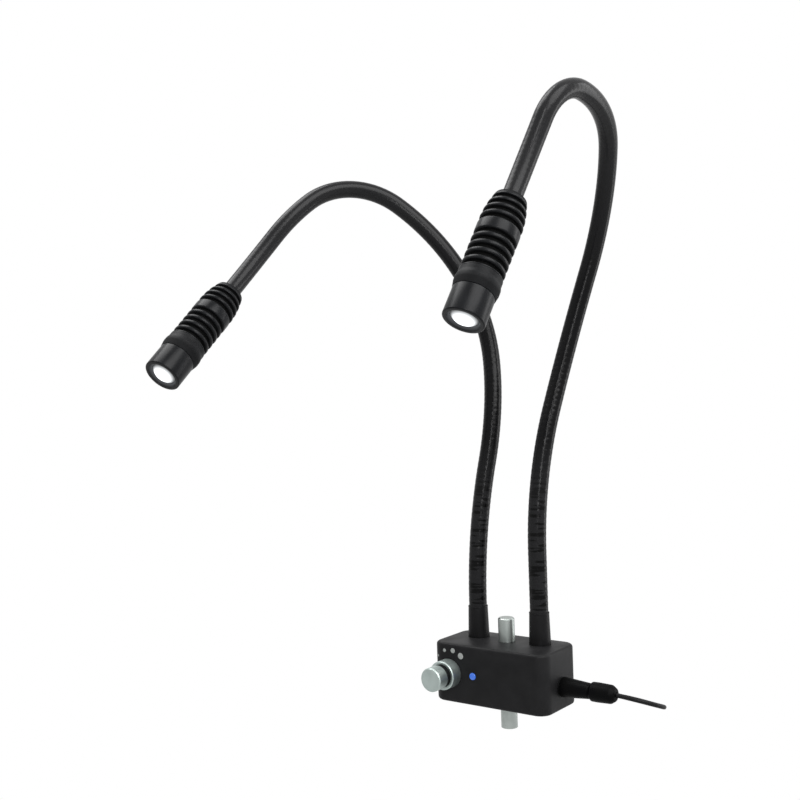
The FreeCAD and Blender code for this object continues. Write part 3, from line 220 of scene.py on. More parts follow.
def moulded(name, dark, light, roughness, grain_mm=0.45, depth_mm=0.02, specular=SATIN):
    """Moulded plastic or rubber: fine grain, faint patches in colour and sheen."""
    material, shader = plain_material(name, dark, roughness, specular)
    patches = noise(material, PATCH_MM, detail=4.0)
    tint(material, shader, patches, dark, light)
    vary_roughness(material, shader, patches, roughness - 0.05, roughness + 0.06)
    bumpy(material, shader, noise(material, grain_mm), depth_mm, 0.5)
    return material


def machined(name, dark, light, roughness, lines_mm=0.25, depth_mm=0.004, stretch=(1, 1, 0.06)):
    """Bare metal: fine lines from drawing or turning, and a slightly cloudy polish."""
    material, shader = plain_material(name, dark, roughness, metallic=1.0)
    tint(material, shader, noise(material, CLOUD_MM, detail=4.0), dark, light)
    lines = noise(material, lines_mm, stretch=stretch)
    vary_roughness(material, shader, lines, roughness - 0.05, roughness + 0.07)
    bumpy(material, shader, lines, depth_mm, 0.4)
    return material


print("plastic and metal ready")

# %% [markdown]
# ## Lit pieces and the circuit board
#
# The blue lamp and the light boards give off a little light of their own, which is plain
# emission in their shader. The circuit board is green lacquer over copper tracks, which
# show as lighter lines: a brick pattern with wide mortar draws them at one cost.

# %% Lit pieces and the circuit board
LACQUER = ("#12502f", "#0e4527")
COPPER = "#2c7a45"
TRACKS_PER_METRE = 260.0


def glowing(name, colour, glow, strength, roughness=0.2):
    material, shader = plain_material(name, colour, roughness)
    shader.inputs["Emission Color"].default_value = linear(glow)
    shader.inputs["Emission Strength"].default_value = strength
    return material


def circuit_board(name):
    material, shader = plain_material(name, LACQUER[0], 0.35)
    inputs = {
        "Vector": add_node(material, "ShaderNodeTexCoord").outputs["Object"],
        "Scale": TRACKS_PER_METRE,
        "Mortar Size": 0.03,
        "Color1": linear(LACQUER[0]),
        "Color2": linear(LACQUER[1]),
        "Mortar": linear(COPPER),
    }
    tracks = add_node(material, "ShaderNodeTexBrick", inputs)
    feed(material, tracks.outputs["Color"], shader, "Base Color")
    bumpy(material, shader, tracks.outputs["Fac"], 0.04, 0.4)
    return material


print("lit pieces and circuit board ready")

# %% [markdown]
# ## Gooseneck skin
#
# A gooseneck is a wound steel hose in a close black skin. Its colour along the hose is
# painted light and shade: lighter low down and past the bend, darker between. Low down the
# skin is matt with fine cross wrinkles, with dark dashes of painted shadow in them; above
# them it is blacker from painted shade, with small flecks as far as the bend, and from there
# on it is smooth. A pattern in space would slide over the bends, so the mesh carries the
# attribute "straight", each point's place on the hose laid straight, and the pattern reads
# that. Its third number is the way along the hose, in metres.

# %% Gooseneck skin
SKIN_LENGTH = 0.5
# The skin's colour along the hose is painted light and shade: lighter low down and past the bend,
# darker between.
SKIN_ENDS = ("#1a1a1b", "#1f1f20")
SKIN_LIGHT_AND_SHADE_STOPS = ((0.16, "#19191a"), (0.24, "#060607"), (0.48, "#070708"), (0.66, "#19191a"))
WRINKLE_MM = 1.9
WRINKLE_STRETCH = (0.14, 0.14, 1)
WRINKLES_FADE = (0.07, 0.11)
# Dark dashes in the low wrinkles are painted shadow.
SHADOW_DASH_EDGE = (0.39, 0.45)
SHADOW_DASH_DARKNESS = 0.95
FLECK_MM = 2.2
FLECKS_FADE = (0.2, 0.27)


def gooseneck_skin(name):
    material, shader = plain_material(name, "#101011", 0.24, SATIN)
    straight = add_node(material, "ShaderNodeAttribute", attribute_name="straight")
    place = straight.outputs["Vector"]
    along = add_node(material, "ShaderNodeSeparateXYZ", {"Vector": place}).outputs["Z"]
    share = add_node(material, "ShaderNodeMapRange", {"Value": along, "From Max": SKIN_LENGTH})
    ramp = add_node(material, "ShaderNodeValToRGB", {"Fac": share.outputs["Result"]})
    stops = ramp.color_ramp.elements
    for stop, colour in zip(stops, SKIN_ENDS):
        stop.color = linear(colour)
    for where, colour in SKIN_LIGHT_AND_SHADE_STOPS:
        stops.new(where).color = linear(colour)
    wrinkles = noise(material, WRINKLE_MM, 0.0, WRINKLE_STRETCH, place)
    flecks = noise(material, FLECK_MM, 0.5, place=place)
    shares = []
    for value, low, high, at_low in (
        (along, *WRINKLES_FADE, 1.0),
        (along, *FLECKS_FADE, 1.0),
        (wrinkles, *SHADOW_DASH_EDGE, SHADOW_DASH_DARKNESS),
    ):
        inputs = {"Value": value, "From Min": low, "From Max": high, "To Min": at_low, "To Max": 0}
        shares.append(add_node(material, "ShaderNodeMapRange", inputs).outputs["Result"])
    wrinkled, flecked, shadow_dashed = shares
    # Painted shadow: dark dashes in the wrinkles near the foot darken the colour ramp, which is
    # itself painted light and shade.
    inputs = {0: wrinkled, 1: shadow_dashed}
    shadow_dashes = add_node(material, "ShaderNodeMath", inputs, operation="MULTIPLY")
    darken(material, shader, ramp.outputs["Color"], shadow_dashes.outputs[0])
    inputs = {0: flecks, 1: flecked}
    specks = add_node(material, "ShaderNodeMath", inputs, operation="MULTIPLY")
    inputs = {0: wrinkles, 1: wrinkled, 2: specks.outputs[0]}
    height = add_node(material, "ShaderNodeMath", inputs, operation="MULTIPLY_ADD")
    bumpy(material, shader, height.outputs[0], 0.2, 0.9)
    return material


print("gooseneck skin ready")

# %% [markdown]
# ## Head skin and lens
#
# The heads are turned from aluminium and anodised black. In the grooves the layer is dull,
# and one attribute darkens the grooves, the rear face and the collar with painted shade.
# The bevel round the lens glows a little, painted light as if it caught the lens's light,
# which "lit" marks. The lens is lit from behind: it glows, and fades towards its edge as
# "rim" goes from 0 to 1. Lamps behind real glass would do the same with far more noise in
# the picture.

# %% Head skin and lens
HEAD_BLACKS = ("#0d0e10", "#131416")
LENS_GLOW = 1.7
# The bevel round the lens glows with painted light.
BEVEL_GLOW = 0.1


def head_skin(name):
    material, shader = plain_material(name, HEAD_BLACKS[0], 0.3, SATIN)
    colour = tint(material, shader, noise(material, PATCH_MM, detail=4.0), *HEAD_BLACKS)
    shade_and_dull = add_node(material, "ShaderNodeAttribute", attribute_name="shade_and_dull").outputs["Fac"]
    # Painted shade: the grooves, the rear face and the collar are darkened by the mark.
    darken(material, shader, colour, shade_and_dull)
    inputs = {"Value": shade_and_dull, "From Max": 0.6, "To Min": 0.3, "To Max": 0.8}
    sheen = add_node(material, "ShaderNodeMapRange", inputs)
    feed(material, sheen.outputs["Result"], shader, "Roughness")
    # Painted light: the bevel round the lens glows as if it caught the lens's light.
    lit = add_node(material, "ShaderNodeAttribute", attribute_name="lit").outputs["Fac"]
    glow = add_node(material, "ShaderNodeMapRange", {"Value": lit, "To Max": BEVEL_GLOW})
    feed(material, glow.outputs["Result"], shader, "Emission Strength")
    shader.inputs["Emission Color"].default_value = linear("#f4f8ff")
    bumpy(material, shader, noise(material, 0.3), 0.004, 0.5)
    return material


def lit_lens(name):
    material, shader = plain_material(name, "#4a4d4e", 0.2)
    rim = add_node(material, "ShaderNodeAttribute", attribute_name="rim").outputs["Fac"]
    inputs = {"Value": rim, "From Min": 0.5, "To Min": LENS_GLOW, "To Max": 0.0}
    glow = add_node(material, "ShaderNodeMapRange", inputs, interpolation_type="SMOOTHSTEP")
    feed(material, glow.outputs["Result"], shader, "Emission Strength")
    shader.inputs["Emission Color"].default_value = linear("#fbfdff")
    return material


print("head skin and lens ready")

# %% [markdown]
# ## Finishes
#
# Every material slot of the record gets its finish here. A material is named for what the
# real piece is made of and how, and the note above it says what that gives the eye. Where
# a real grain is too fine for the picture, it is drawn as coarse as it needs to show.

# %% Finishes
finish = {
    # Spark-eroded ABS: an even, dull black with soft edges of light.
    "box_black": moulded("spark_eroded_abs", "#141415", "#1a1a1b", 0.48),
    # Satin paint on the metal feet: black, with a little more sheen than the box.
    "sleeve_black": moulded("satin_paint_on_metal", "#0f0f10", "#151516", 0.4),
    # Painted skin on a wound hose: satin, with painted light and shade in three stretches
    # along it, and painted shadow dashes in its wrinkles.
    "hose_black": gooseneck_skin("painted_hose_skin"),
    # Black anodised aluminium: thin highlights on the fins, and dull grooves darkened with
    # painted shade.
    "head_black": head_skin("anodised_aluminium_black"),
    # Moulded ABS core of the knob: a dark band with no mirror.
    "knob_black": moulded("moulded_abs_band", "#08090a", "#0d0e0f", 0.45),
    # Soft PVC plugs swallow nearly all light.
    "plug_black": moulded("soft_pvc", "#020203", "#040404", 0.5, specular=MATT),
    # The lead's extruded PVC jacket is smoother, so it shows a long highlight.
    "lead_black": moulded("extruded_pvc", "#111112", "#171718", 0.45),
    # Woven nylon strap: rough, with a coarse grain.
    "tie_black": moulded("woven_nylon", "#0e0e0f", "#171718", 0.7, 0.35, 0.05),
    # Moulded nylon inlet: black and even.
    "inlet_black": moulded("moulded_nylon", "#0f0f10", "#161617", 0.45),
    # Filled nylon of the choke's shell and the lens rings: dark grey and dry.
    "part_black": moulded("filled_nylon", "#17181a", "#212225", 0.6),
    # Silicone wire jacket: red, with a waxy highlight.
    "wire_jacket": moulded("silicone_jacket", "#8f1f1c", "#a82a25", 0.5, specular=0.5),
    # Polished steel rod: faint lines run along it, drawn coarser than they are so that
    # they show.
    "rod_steel": machined("polished_steel", "#959b98", "#a1a7a4", 0.38, 0.4, 0.0002, (1, 1, 0.02)),
    # Turned aluminium: rings round the knob's axis show as a soft, wide highlight.
    "knob_metal": machined(
        "turned_aluminium", "#9aa4a1", "#a6b0ad", 0.46, 0.25, 0.03, (0.05, 1, 0.05)
    ),
    # Bright turned aluminium: rings round the screw's own axis.
    "clamp_metal": machined(
        "bright_turned_aluminium", "#9b9c9b", "#adaeac", 0.32, stretch=(1, 0.1, 1)
    ),
    # Zinc-plated steel: a grey that is duller than the rod's.
    "fastener_steel": machined("zinc_plated_steel", "#8d8f8f", "#a2a4a3", 0.35),
    # Turned brass: a warm yellow between black walls.
    "bush_brass": machined("turned_brass", "#b08d4b", "#c4a05b", 0.3),
    # Drawn aluminium cans: light and smooth.
    "can_metal": machined("drawn_aluminium", "#9fa2a4", "#b2b5b6", 0.3),
    # Plated steel of the dial's case and shaft: a cool grey.
    "dial_metal": machined("plated_steel", "#8f9396", "#a5a8aa", 0.35),
    # Nickel plate: the brightest metal here, slightly yellow.
    "contact_nickel": machined("nickel_plate", "#a6a59c", "#b9b8af", 0.25),
    # Tinted epoxy lamp: a blue that gives off a little light.
    "lamp_blue": glowing("blue_epoxy_lamp", "#1b2c66", "#3369c9", 0.85),
    # Clear moulded lens, lit from behind: white, fading to its edge.
    "lens_clear": lit_lens("clear_moulded_lens"),
    # White coated board round the emitter: cream, lit by it.
    "light_board": glowing("white_coated_board", "#e9e6d2", "#fff6d8", 0.4, 0.5),
    # Green lacquer over copper: tracks show through it.
    "board_green": circuit_board("green_circuit_board"),
}
print("finishes:", len(finish))

# %% [markdown]
# ## Cord
#
# The lead leaves the plug, turns back and runs behind the box. There the rest of its
# length is wound in a neat coil that hangs on the clamp screw. The route is a list of
# given points, and a smooth spline runs past them: the coil's turns, which a loop works
# out, are more points of the same spline, so that nothing is joined.

# %% Cord
CORD_DIAMETER = 3.2
CORD_ROUTE = (
    (88.8, -5.0, 37.0),
    (99.9, -5.0, 36.1),
    (110.3, 0.7, 33.1),
    (114.7, 11.3, 28.8),
    (111.2, 22.4, 25.2),
    (101.3, 29.3, 23.6),
    (85.4, 31.5, 24.6),
    (68.0, 35.0, 24.4),
    (50.0, 37.0, 22.4),
    (33.0, 35.0, 19.0),
    (18.0, 30.8, 15.0),
)
CORD_TAIL = (
    (6.0, 32.6, 9.6),
    (-4.5, 32.4, 4.6),
    (-14.5, 31.0, 2.8),
    (-23.5, 29.0, 5.2),
    (-28.0, 28.0, 10.5),
    (-28.3, 27.85, 15.5),
    (-28.3, 27.85, 19.0),
)
COIL_CENTRE = Vector((0.0, 27.85, 33.3))
COIL_RADIUS = 17.5
TURNS = 10.88
POINTS_PER_TURN = 16
OUTER_LAYER = 4.9
INNER_LAYER = 1.9
FIRST_INNER_TURN = 5.0
LAST_INNER_TURN = 8.0
LAYER_CHANGE = 0.4
OUTER_STEP = 40
INNER_STEP = 120


def coil_point(turn):
    """A point of the coil, whose turns start at its lowest place. Eight turns lie round
    the outside of the bundle and step on by a ninth of it each. Three turns lie inside and
    step on by a third; a turn takes a share of itself to change layers."""
    rise = (turn - FIRST_INNER_TURN) / LAYER_CHANGE
    fall = (LAST_INNER_TURN + LAYER_CHANGE - turn) / LAYER_CHANGE
    share = max(0.0, min(1.0, rise, fall))
    inside = share * share * (3 - 2 * share)
    layer = OUTER_LAYER + (INNER_LAYER - OUTER_LAYER) * inside
    inner = min(max(turn - FIRST_INNER_TURN, 0.0), LAST_INNER_TURN - FIRST_INNER_TURN)
    lean = math.radians(90 + OUTER_STEP * (turn - inner) + INNER_STEP * inner)
    angle = math.tau * turn
    reach = COIL_RADIUS + layer * math.sin(lean)
    return COIL_CENTRE + Vector(
        (-reach * math.sin(angle), layer * math.cos(lean), -reach * math.cos(angle))
    )


def make_cord():
    points = [Vector(p) for p in CORD_ROUTE]
    steps = round(TURNS * POINTS_PER_TURN)
    points += [coil_point(step / POINTS_PER_TURN) for step in range(1, steps + 1)]
    points += [Vector(p) for p in CORD_TAIL]
    data = bpy.data.curves.new("lead", "CURVE")
    data.dimensions = "3D"
    spline = data.splines.new("NURBS")
    spline.points.add(len(points) - 1)
    for knot, place in zip(spline.points, points):
        knot.co = (*(place * MM), 1.0)
    spline.order_u = 3
    spline.use_endpoint_u = True
    spline.resolution_u = 6
    data.bevel_depth = CORD_DIAMETER / 2 * MM
    data.bevel_resolution = 5
    data.use_fill_caps = True
    data.materials.append(finish["lead_black"])
    lead = add_object("lead", data)
    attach(lead, "box")
    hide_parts("cord", "cord_coil")
    return lead


lead = make_cord()
print("lead: %d points" % len(lead.data.splines[0].points))

# %% [markdown]
# ## Shape tools: showing a piece
#
# A bmesh is a mesh being worked on, in millimetres. When it is done it becomes a mesh in
# metres, at its place, and its object stays at the origin, unturned, as the CAD nodes'
# objects do. Flat faces and round ones meet at sharp edges, which an angle finds.

# %% Showing a piece
UP = (0, 0, 1)
FORWARD = (0, -1, 0)
BACK = (0, 1, 0)
RIGHT = (1, 0, 0)


def show(name, mesh, body, slot, nodes=(), sharp=32):
    """A mesh in row frame metres, shown as a piece that rides on a body."""
    mesh.shade_smooth()
    mesh.set_sharp_from_angle(angle=math.radians(sharp))
    piece = add_object(name, mesh)
    mesh.materials.append(finish[slot])
    if body:
        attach(piece, body)
    if nodes:
        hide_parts(*nodes)
    return piece


def to_mesh(bm, name, placing):
    """Ends a bmesh in millimetres as a mesh in metres."""
    bmesh.ops.recalc_face_normals(bm, faces=bm.faces)
    bmesh.ops.transform(bm, matrix=placing, verts=bm.verts)
    bmesh.ops.scale(bm, vec=(MM, MM, MM), verts=bm.verts)
    mesh = bpy.data.meshes.new(name)
    bm.to_mesh(mesh)
    bm.free()
    return mesh


def axes(place, ahead, lean=None):
    """The matrix that sends Z to ahead and X to lean, at a place in millimetres."""
    ahead = Vector(ahead).normalized()
    lean = Vector(lean) if lean else ahead.orthogonal()
    lean = (lean - ahead * lean.dot(ahead)).normalized()
    side = ahead.cross(lean)
    return Matrix.Translation(Vector(place)) @ (
        Matrix((lean, side, ahead)).transposed().to_4x4()
    )


def node_size(node):
    """A CAD node's middle and its size along X, Y and Z, in millimetres."""
    low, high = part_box(node)
    return (low + high) / 2 / MM, (high - low) / MM


BOX_MIDDLE, BOX_SIZE = node_size("housing")
BOX_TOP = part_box("housing")[1].z / MM
print("control box: %.1f x %.1f x %.1f mm" % tuple(BOX_SIZE))

# %% [markdown]
# ## Shape tools: turned pieces
#
# Rods, knobs, plugs and heads are turned on a lathe or moulded as if they were. An outline
# of a radius and a way ahead, spun about an axis, makes such a piece with clean rings of
# faces, and one function can round any corner of the outline before the spin. Bevelling
# the finished mesh would do the same with less control.

# %% Turned pieces
TURN_STEPS = 96
CORNER_STEPS = 5
EDGE_SHARE = 0.49
DOUBLES = 1e-4


def rounded(outline, closed=False):
    """An outline's points (radius, ahead) or (radius, ahead, fillet), with its fillets. A
    fillet takes less than half of an edge, so that two of them never cross."""
    points = []
    for index, corner in enumerate(outline):
        here = Vector(corner[:2])
        ends = index in (0, len(outline) - 1) and not closed
        if len(corner) == 2 or ends:
            points.append(here)
            continue
        into = Vector(outline[index - 1][:2]) - here
        out = Vector(outline[(index + 1) % len(outline)][:2]) - here
        reach = corner[2] / math.tan(into.angle(out) / 2)
        reach = min(reach, into.length * EDGE_SHARE, out.length * EDGE_SHARE)
        start = here + into.normalized() * reach
        end = here + out.normalized() * reach
        for step in range(CORNER_STEPS + 1):
            share = step / CORNER_STEPS
            low = start.lerp(here, share)
            high = here.lerp(end, share)
            points.append(low.lerp(high, share))
    return points


def turned(name, outline, placing, closed=False, steps=TURN_STEPS):
    """A mesh turned about its Z axis from an outline of (radius, ahead[, fillet])."""
    bm = bmesh.new()
    verts = [bm.verts.new((p.x, 0, p.y)) for p in rounded(outline, closed)]
    edges = [bm.edges.new(pair) for pair in zip(verts, verts[1:])]
    if closed:
        edges.append(bm.edges.new((verts[-1], verts[0])))
    bmesh.ops.spin(
        bm,
        geom=verts + edges,
        cent=(0, 0, 0),
        axis=(0, 0, 1),
        dvec=(0, 0, 0),
        angle=math.tau,
        steps=steps,
        use_merge=True,
    )
    bmesh.ops.remove_doubles(bm, verts=bm.verts, dist=DOUBLES)
    return to_mesh(bm, name, placing)


def mark(mesh, name, placing, value):
    """Stores a number on every point, worked out from its radius and its place along
    the axis of a turned piece."""
    back = placing.inverted()
    values = []
    for vertex in mesh.vertices:
        local = back @ (vertex.co / MM)
        values.append(value(math.hypot(local.x, local.y), local.z))
    mesh.attributes.new(name, "FLOAT", "POINT").data.foreach_set("value", values)


print("turning ready: %d steps round" % TURN_STEPS)

# %% [markdown]
# ## Shape tools: blocks and holes
#
# The box, its cover, the strap and the supply plug are blocks whose edges are rounded in
# two steps, the upright ones first and then the rims. Holes are cut by exact Booleans:
# slower than drawing round them, but each cutter is one line and the edges stay crisp.

# %% Blocks and holes
RIM_STEPS = 4
HOLE_STEPS = 48


def round_edges(bm, edges, radius, segments):
    bmesh.ops.bevel(
        bm,
        geom=edges,
        offset=radius,
        segments=segments,
        profile=0.5,
        affect="EDGES",
        material=-1,
    )


def block(name, size, place, corner=0.0, edge=0.0, corner_steps=10, placing=None):
    """A box whose lowest face has its middle at a place: its upright edges are rounded,
    then its rims. A placing turns it as well."""
    bm = bmesh.new()
    bmesh.ops.create_cube(bm, size=1)
    bmesh.ops.translate(bm, vec=(0, 0, 0.5), verts=bm.verts)
    bmesh.ops.scale(bm, vec=size, verts=bm.verts)
    if corner:
        half = 0.5 * size[2]
        upright = [e for e in bm.edges if abs(e.verts[0].co.z - e.verts[1].co.z) > half]
        round_edges(bm, upright, corner, corner_steps)
    if edge:
        bm.normal_update()
        rims = [
            e
            for e in bm.edges
            if len({round(abs(f.normal.z)) for f in e.link_faces}) == 2
        ]
        round_edges(bm, rims, edge, RIM_STEPS)
    return to_mesh(bm, name, placing or Matrix.Translation(place))


def hole(radius, place, ahead, length):
    """A round cutter that starts at a place and goes ahead."""
    outline = ((0, 0), (radius, 0), (radius, length), (0, length))
    return turned("cutter", outline, axes(place, ahead), steps=HOLE_STEPS)


def carve(mesh, cutters):
    """The mesh with every cutter taken away by an exact Boolean."""
    work = add_object("carving", mesh)
    helpers = []
    for cutter in cutters:
        helper = add_object("cutter", cutter)
        cut = work.modifiers.new("cut", "BOOLEAN")
        cut.operation = "DIFFERENCE"
        cut.solver = "EXACT"
        cut.object = helper
        helpers.append(helper)
    view = bpy.context.evaluated_depsgraph_get()
    carved = bpy.data.meshes.new_from_object(work.evaluated_get(view))
    for helper in [work, *helpers]:
        bpy.data.objects.remove(helper)
    return carved


print("blocks and holes ready")

# %% [markdown]
# ## Stand rod and clamp screw
#
# The rod is polished steel with a shallow relief at the box's underside. The clamp
# screw has a fluted head that the fingers grip: it is turned first, and then its side is
# pressed in by a cosine round the axis, which is simpler than cutting twelve grooves.

# %% Rod and clamp screw
ROD_RADIUS = 6.0
ROD_CHAMFER = 0.8
RELIEF_DEPTH = 0.5
RELIEF_LENGTH = 1.5
CLAMP_HEAD = 11.0
CLAMP_RADIUS = 6.4
FLUTED_FROM = 5.6
FLUTES = 12
FLUTE_DEPTH = 0.55


def make_rod():
    length = node_size("mounting_rod")[1].z
    lift = BOX_MIDDLE.z - BOX_SIZE.z / 2
    slim = ROD_RADIUS - RELIEF_DEPTH
    outline = (
        (0, 0),
        (ROD_RADIUS, 0, 0.3),
        (ROD_RADIUS, lift, 0.1),
        (slim, lift + RELIEF_DEPTH, 0.1),
        (slim, lift + RELIEF_DEPTH + RELIEF_LENGTH, 0.1),
        (ROD_RADIUS, lift + RELIEF_DEPTH * 2 + RELIEF_LENGTH, 0.1),
        (ROD_RADIUS, length - ROD_CHAMFER, 0.2),
        (ROD_RADIUS - ROD_CHAMFER, length, 0.2),
        (0, length),
    )
    mesh = turned("stand_rod", outline, axes((0, 0, 0), UP))
    show("stand_rod", mesh, "rod", "rod_steel", ["mounting_rod"])
    return length


def make_clamp_screw():
    middle, extent = node_size("clamp_screw")
    start = middle.y - extent.y / 2
    end = middle.y + extent.y / 2
    head = end - CLAMP_HEAD
    outline = (
        (0, start),
        (1.7, start),
        (2.0, start + 0.6),
        (2.0, head - 2.0),
        (3.5, head - 2.0, 0.3),
        (3.5, head),
        (CLAMP_RADIUS, head, 0.7),
        (CLAMP_RADIUS, end, 0.9),
        (4.2, end, 0.4),
        (3.8, end - 0.5, 0.4),
        (0, end - 0.5),
    )
    mesh = turned("thumb_screw", outline, axes((middle.x, 0, middle.z), BACK), steps=144)
    for vertex in mesh.vertices:
        along = vertex.co.y / MM
        across = Vector((vertex.co.x / MM - middle.x, vertex.co.z / MM - middle.z))
        if across.length > FLUTED_FROM and head + 0.4 < along < end - 0.4:
            angle = math.atan2(across.y, across.x)
            depth = FLUTE_DEPTH * max(0.0, math.cos(FLUTES * angle)) ** 2
            across = across * (1 - depth / across.length)
            vertex.co.x = (middle.x + across.x) * MM
            vertex.co.z = (middle.z + across.y) * MM
    show("thumb_screw", mesh, "clamp", "clamp_metal", ["clamp_screw"])


print("stand rod: %.1f mm long" % make_rod())
make_clamp_screw()
print("clamp screw: %d flutes" % FLUTES)

# %% [markdown]
# ## Control box
#
# The box is one moulding with rounded upright corners and softer rims. A rebate for the
# cover, the opening behind it and the cavity are cut out of the rear, and a hole for each
# piece that passes a wall. A cutter goes a little past the wall it cuts, because faces
# that lie on each other confuse a Boolean.

# %% Control box
WALL = 2.5
SIDE_WALL = 5.0
REAR_WALL = 6.0
COVER_WIDTH = 75.0
COVER_HEIGHT = 36.0
COVER_DEPTH = 2.0
COVER_LEDGE = 3.2
BOX_CORNER = 9.5
BOX_EDGE = 2.2
KNOB_X = -32.3
LAMP_X = -11.9
KNOB_Z = 41.75
NECK_X = 26.0
NECK_Y = 3.0
INLET = (-5.0, 37.0)
ROD_HOLE = 6.15
DIAL_HOLE = 3.55
LAMP_HOLE = 2.55
INLET_HOLE = 5.55
NECK_HOLE = 5.05
SPARE = 1


def make_box():
    floor = BOX_MIDDLE.z - BOX_SIZE.z / 2
    top = floor + BOX_SIZE.z
    rear = BOX_MIDDLE.y + BOX_SIZE.y / 2
    inside_front = BOX_MIDDLE.y - BOX_SIZE.y / 2 + WALL + SPARE
    inside_right = BOX_SIZE.x / 2 - SIDE_WALL - SPARE
    place = (0, BOX_MIDDLE.y, floor)
    shell = block("box", BOX_SIZE, place, BOX_CORNER, BOX_EDGE, 14)
    room_depth = BOX_SIZE.y - REAR_WALL - WALL
    rebate = (COVER_WIDTH, COVER_DEPTH * 2, COVER_HEIGHT)
    opening = (COVER_WIDTH - COVER_LEDGE * 2, REAR_WALL * 2.4, COVER_HEIGHT - COVER_LEDGE * 2)
    room = (BOX_SIZE.x - SIDE_WALL * 2, room_depth, BOX_SIZE.z - WALL * 2)
    cover_floor = BOX_MIDDLE.z - COVER_HEIGHT / 2
    cutters = [
        block("cutter", rebate, (0, rear, cover_floor)),
        block("cutter", opening, (0, rear, cover_floor + COVER_LEDGE)),
        block("cutter", room, (0, rear - REAR_WALL - room_depth / 2, floor + WALL)),
        hole(ROD_HOLE, (0, 0, floor - SPARE), UP, BOX_SIZE.z + 2 * SPARE),
        hole(DIAL_HOLE, (KNOB_X, inside_front, KNOB_Z), FORWARD, WALL + 2 * SPARE),
        hole(LAMP_HOLE, (LAMP_X, inside_front, KNOB_Z), FORWARD, WALL + 2 * SPARE),
        hole(INLET_HOLE, (inside_right, *INLET), RIGHT, SIDE_WALL + 2 * SPARE),
    ]
    for across in (-NECK_X, NECK_X):
        place = (across, NECK_Y, top - WALL - SPARE)
        cutters.append(hole(NECK_HOLE, place, UP, WALL + 2 * SPARE))
    show("box", carve(shell, cutters), "box", "box_black", ["housing"])
    return len(cutters)


print("control box: %d cuts" % make_box())

# %% [markdown]
# ## Rear cover and its screws
#
# A flush plate closes the box from behind, held by four cross-head screws. One screw is
# described once, and two loops put it in the four corners. Its cross is cut by two thin
# blocks.

# %% Rear cover
SCREW_INSET = 2.2
CROSS_LENGTH = 2.4
CROSS_WIDTH = 0.45
CLAMP_HOLE = 2.05


def make_cover():
    middle, extent = node_size("rear_cover")
    placing = Matrix.Translation((0, middle.y + extent.y / 2, middle.z)) @ Matrix.Rotation(
        math.radians(90), 4, "X"
    )
    size = (extent.x, extent.z, extent.y)
    plate = block("rear_plate", size, None, 0.6, 0.35, 3, placing)
    screw_hole = hole(CLAMP_HOLE, (0, middle.y - 3, node_size("clamp_screw")[0].z), BACK, 6)
    show("rear_plate", carve(plate, [screw_hole]), "box", "box_black", ["rear_cover"])


def make_cover_screw(name, x, z, start, rear):
    outline = (
        (0, start),
        (1.15, start),
        (1.15, rear - 1.4),
        (2.2, rear - 1.4, 0.1),
        (2.2, rear - 0.7, 0.3),
        (1.3, rear, 0.5),
        (0, rear),
    )
    head = turned("screw", outline, axes((x, 0, z), BACK), steps=48)
    arms = [
        block("cutter", (width, 1.2, height), (x, rear, z - height / 2))
        for width, height in ((CROSS_LENGTH, CROSS_WIDTH), (CROSS_WIDTH, CROSS_LENGTH))
    ]
    show(name, carve(head, arms), "box", "fastener_steel", ["cover_screws"])


def make_cover_screws():
    middle, extent = node_size("cover_screws")
    rear = middle.y + extent.y / 2
    for across in (-1, 1):
        for level in (-1, 1):
            name = "cover_screw_%s_%s" % ("lr"[across > 0], "lu"[level > 0])
            x = across * (extent.x / 2 - SCREW_INSET)
            z = middle.z + level * (extent.z / 2 - SCREW_INSET)
            make_cover_screw(name, x, z, middle.y - extent.y / 2, rear)


make_cover()
make_cover_screws()
print("rear cover with its four screws")

# %% [markdown]
# ## Dimmer knob
#
# A fixed bright collar surrounds the turning part: a black core with a bright cap. They
# are three turned pieces on one axis, and the core rides with the cap, so that the collar
# stays when the knob turns.

# %% Knob
FRONT_Y = -28.5
RING_RADIUS = 10.3
RING_LENGTH = 10.0
RING_LIP = 0.6
RING_HOLE = 8.1
RING_FLOOR = 2.0
CORE_RADIUS = 7.9
CORE_START = 2.4
CAP_START = 13.8
CAP_RADIUS = 8.5
CAP_LENGTH = 9.8
CAP_CHAMFER = 0.8


def make_knob():
    placing = axes((KNOB_X, FRONT_Y, KNOB_Z), FORWARD)
    outline = (
        (DIAL_HOLE, 0),
        (RING_RADIUS, 0, 0.2),
        (RING_RADIUS, RING_LENGTH - RING_LIP, 0.3),
        (RING_RADIUS - RING_LIP, RING_LENGTH, 0.3),
        (RING_HOLE, RING_LENGTH, 0.3),
        (RING_HOLE, RING_FLOOR, 0.3),
        (DIAL_HOLE, RING_FLOOR),
    )
    mesh = turned("knob_ring", outline, placing, closed=True)
    show("knob_ring", mesh, "box", "knob_metal", ["knob_collar"])
    outline = (
        (3.05, CORE_START),
        (CORE_RADIUS, CORE_START, 0.3),
        (CORE_RADIUS, CAP_START, 0.1),
        (0, CAP_START),
    )
    mesh = turned("knob_band", outline, placing)
    show("knob_band", mesh, "knob", "knob_black", ["knob_core"])
    end = CAP_START + CAP_LENGTH
    outline = (
        (0, CAP_START),
        (CAP_RADIUS - 0.4, CAP_START, 0.1),
        (CAP_RADIUS, CAP_START + 0.4, 0.2),
        (CAP_RADIUS, end - CAP_CHAMFER, 0.4),
        (CAP_RADIUS - CAP_CHAMFER, end, 0.4),
        (0, end - 0.1),
    )
    mesh = turned("knob_face", outline, placing, steps=128)
    show("knob_face", mesh, "knob", "knob_metal", ["knob_cap"])


make_knob()
print("knob: collar, band and face")

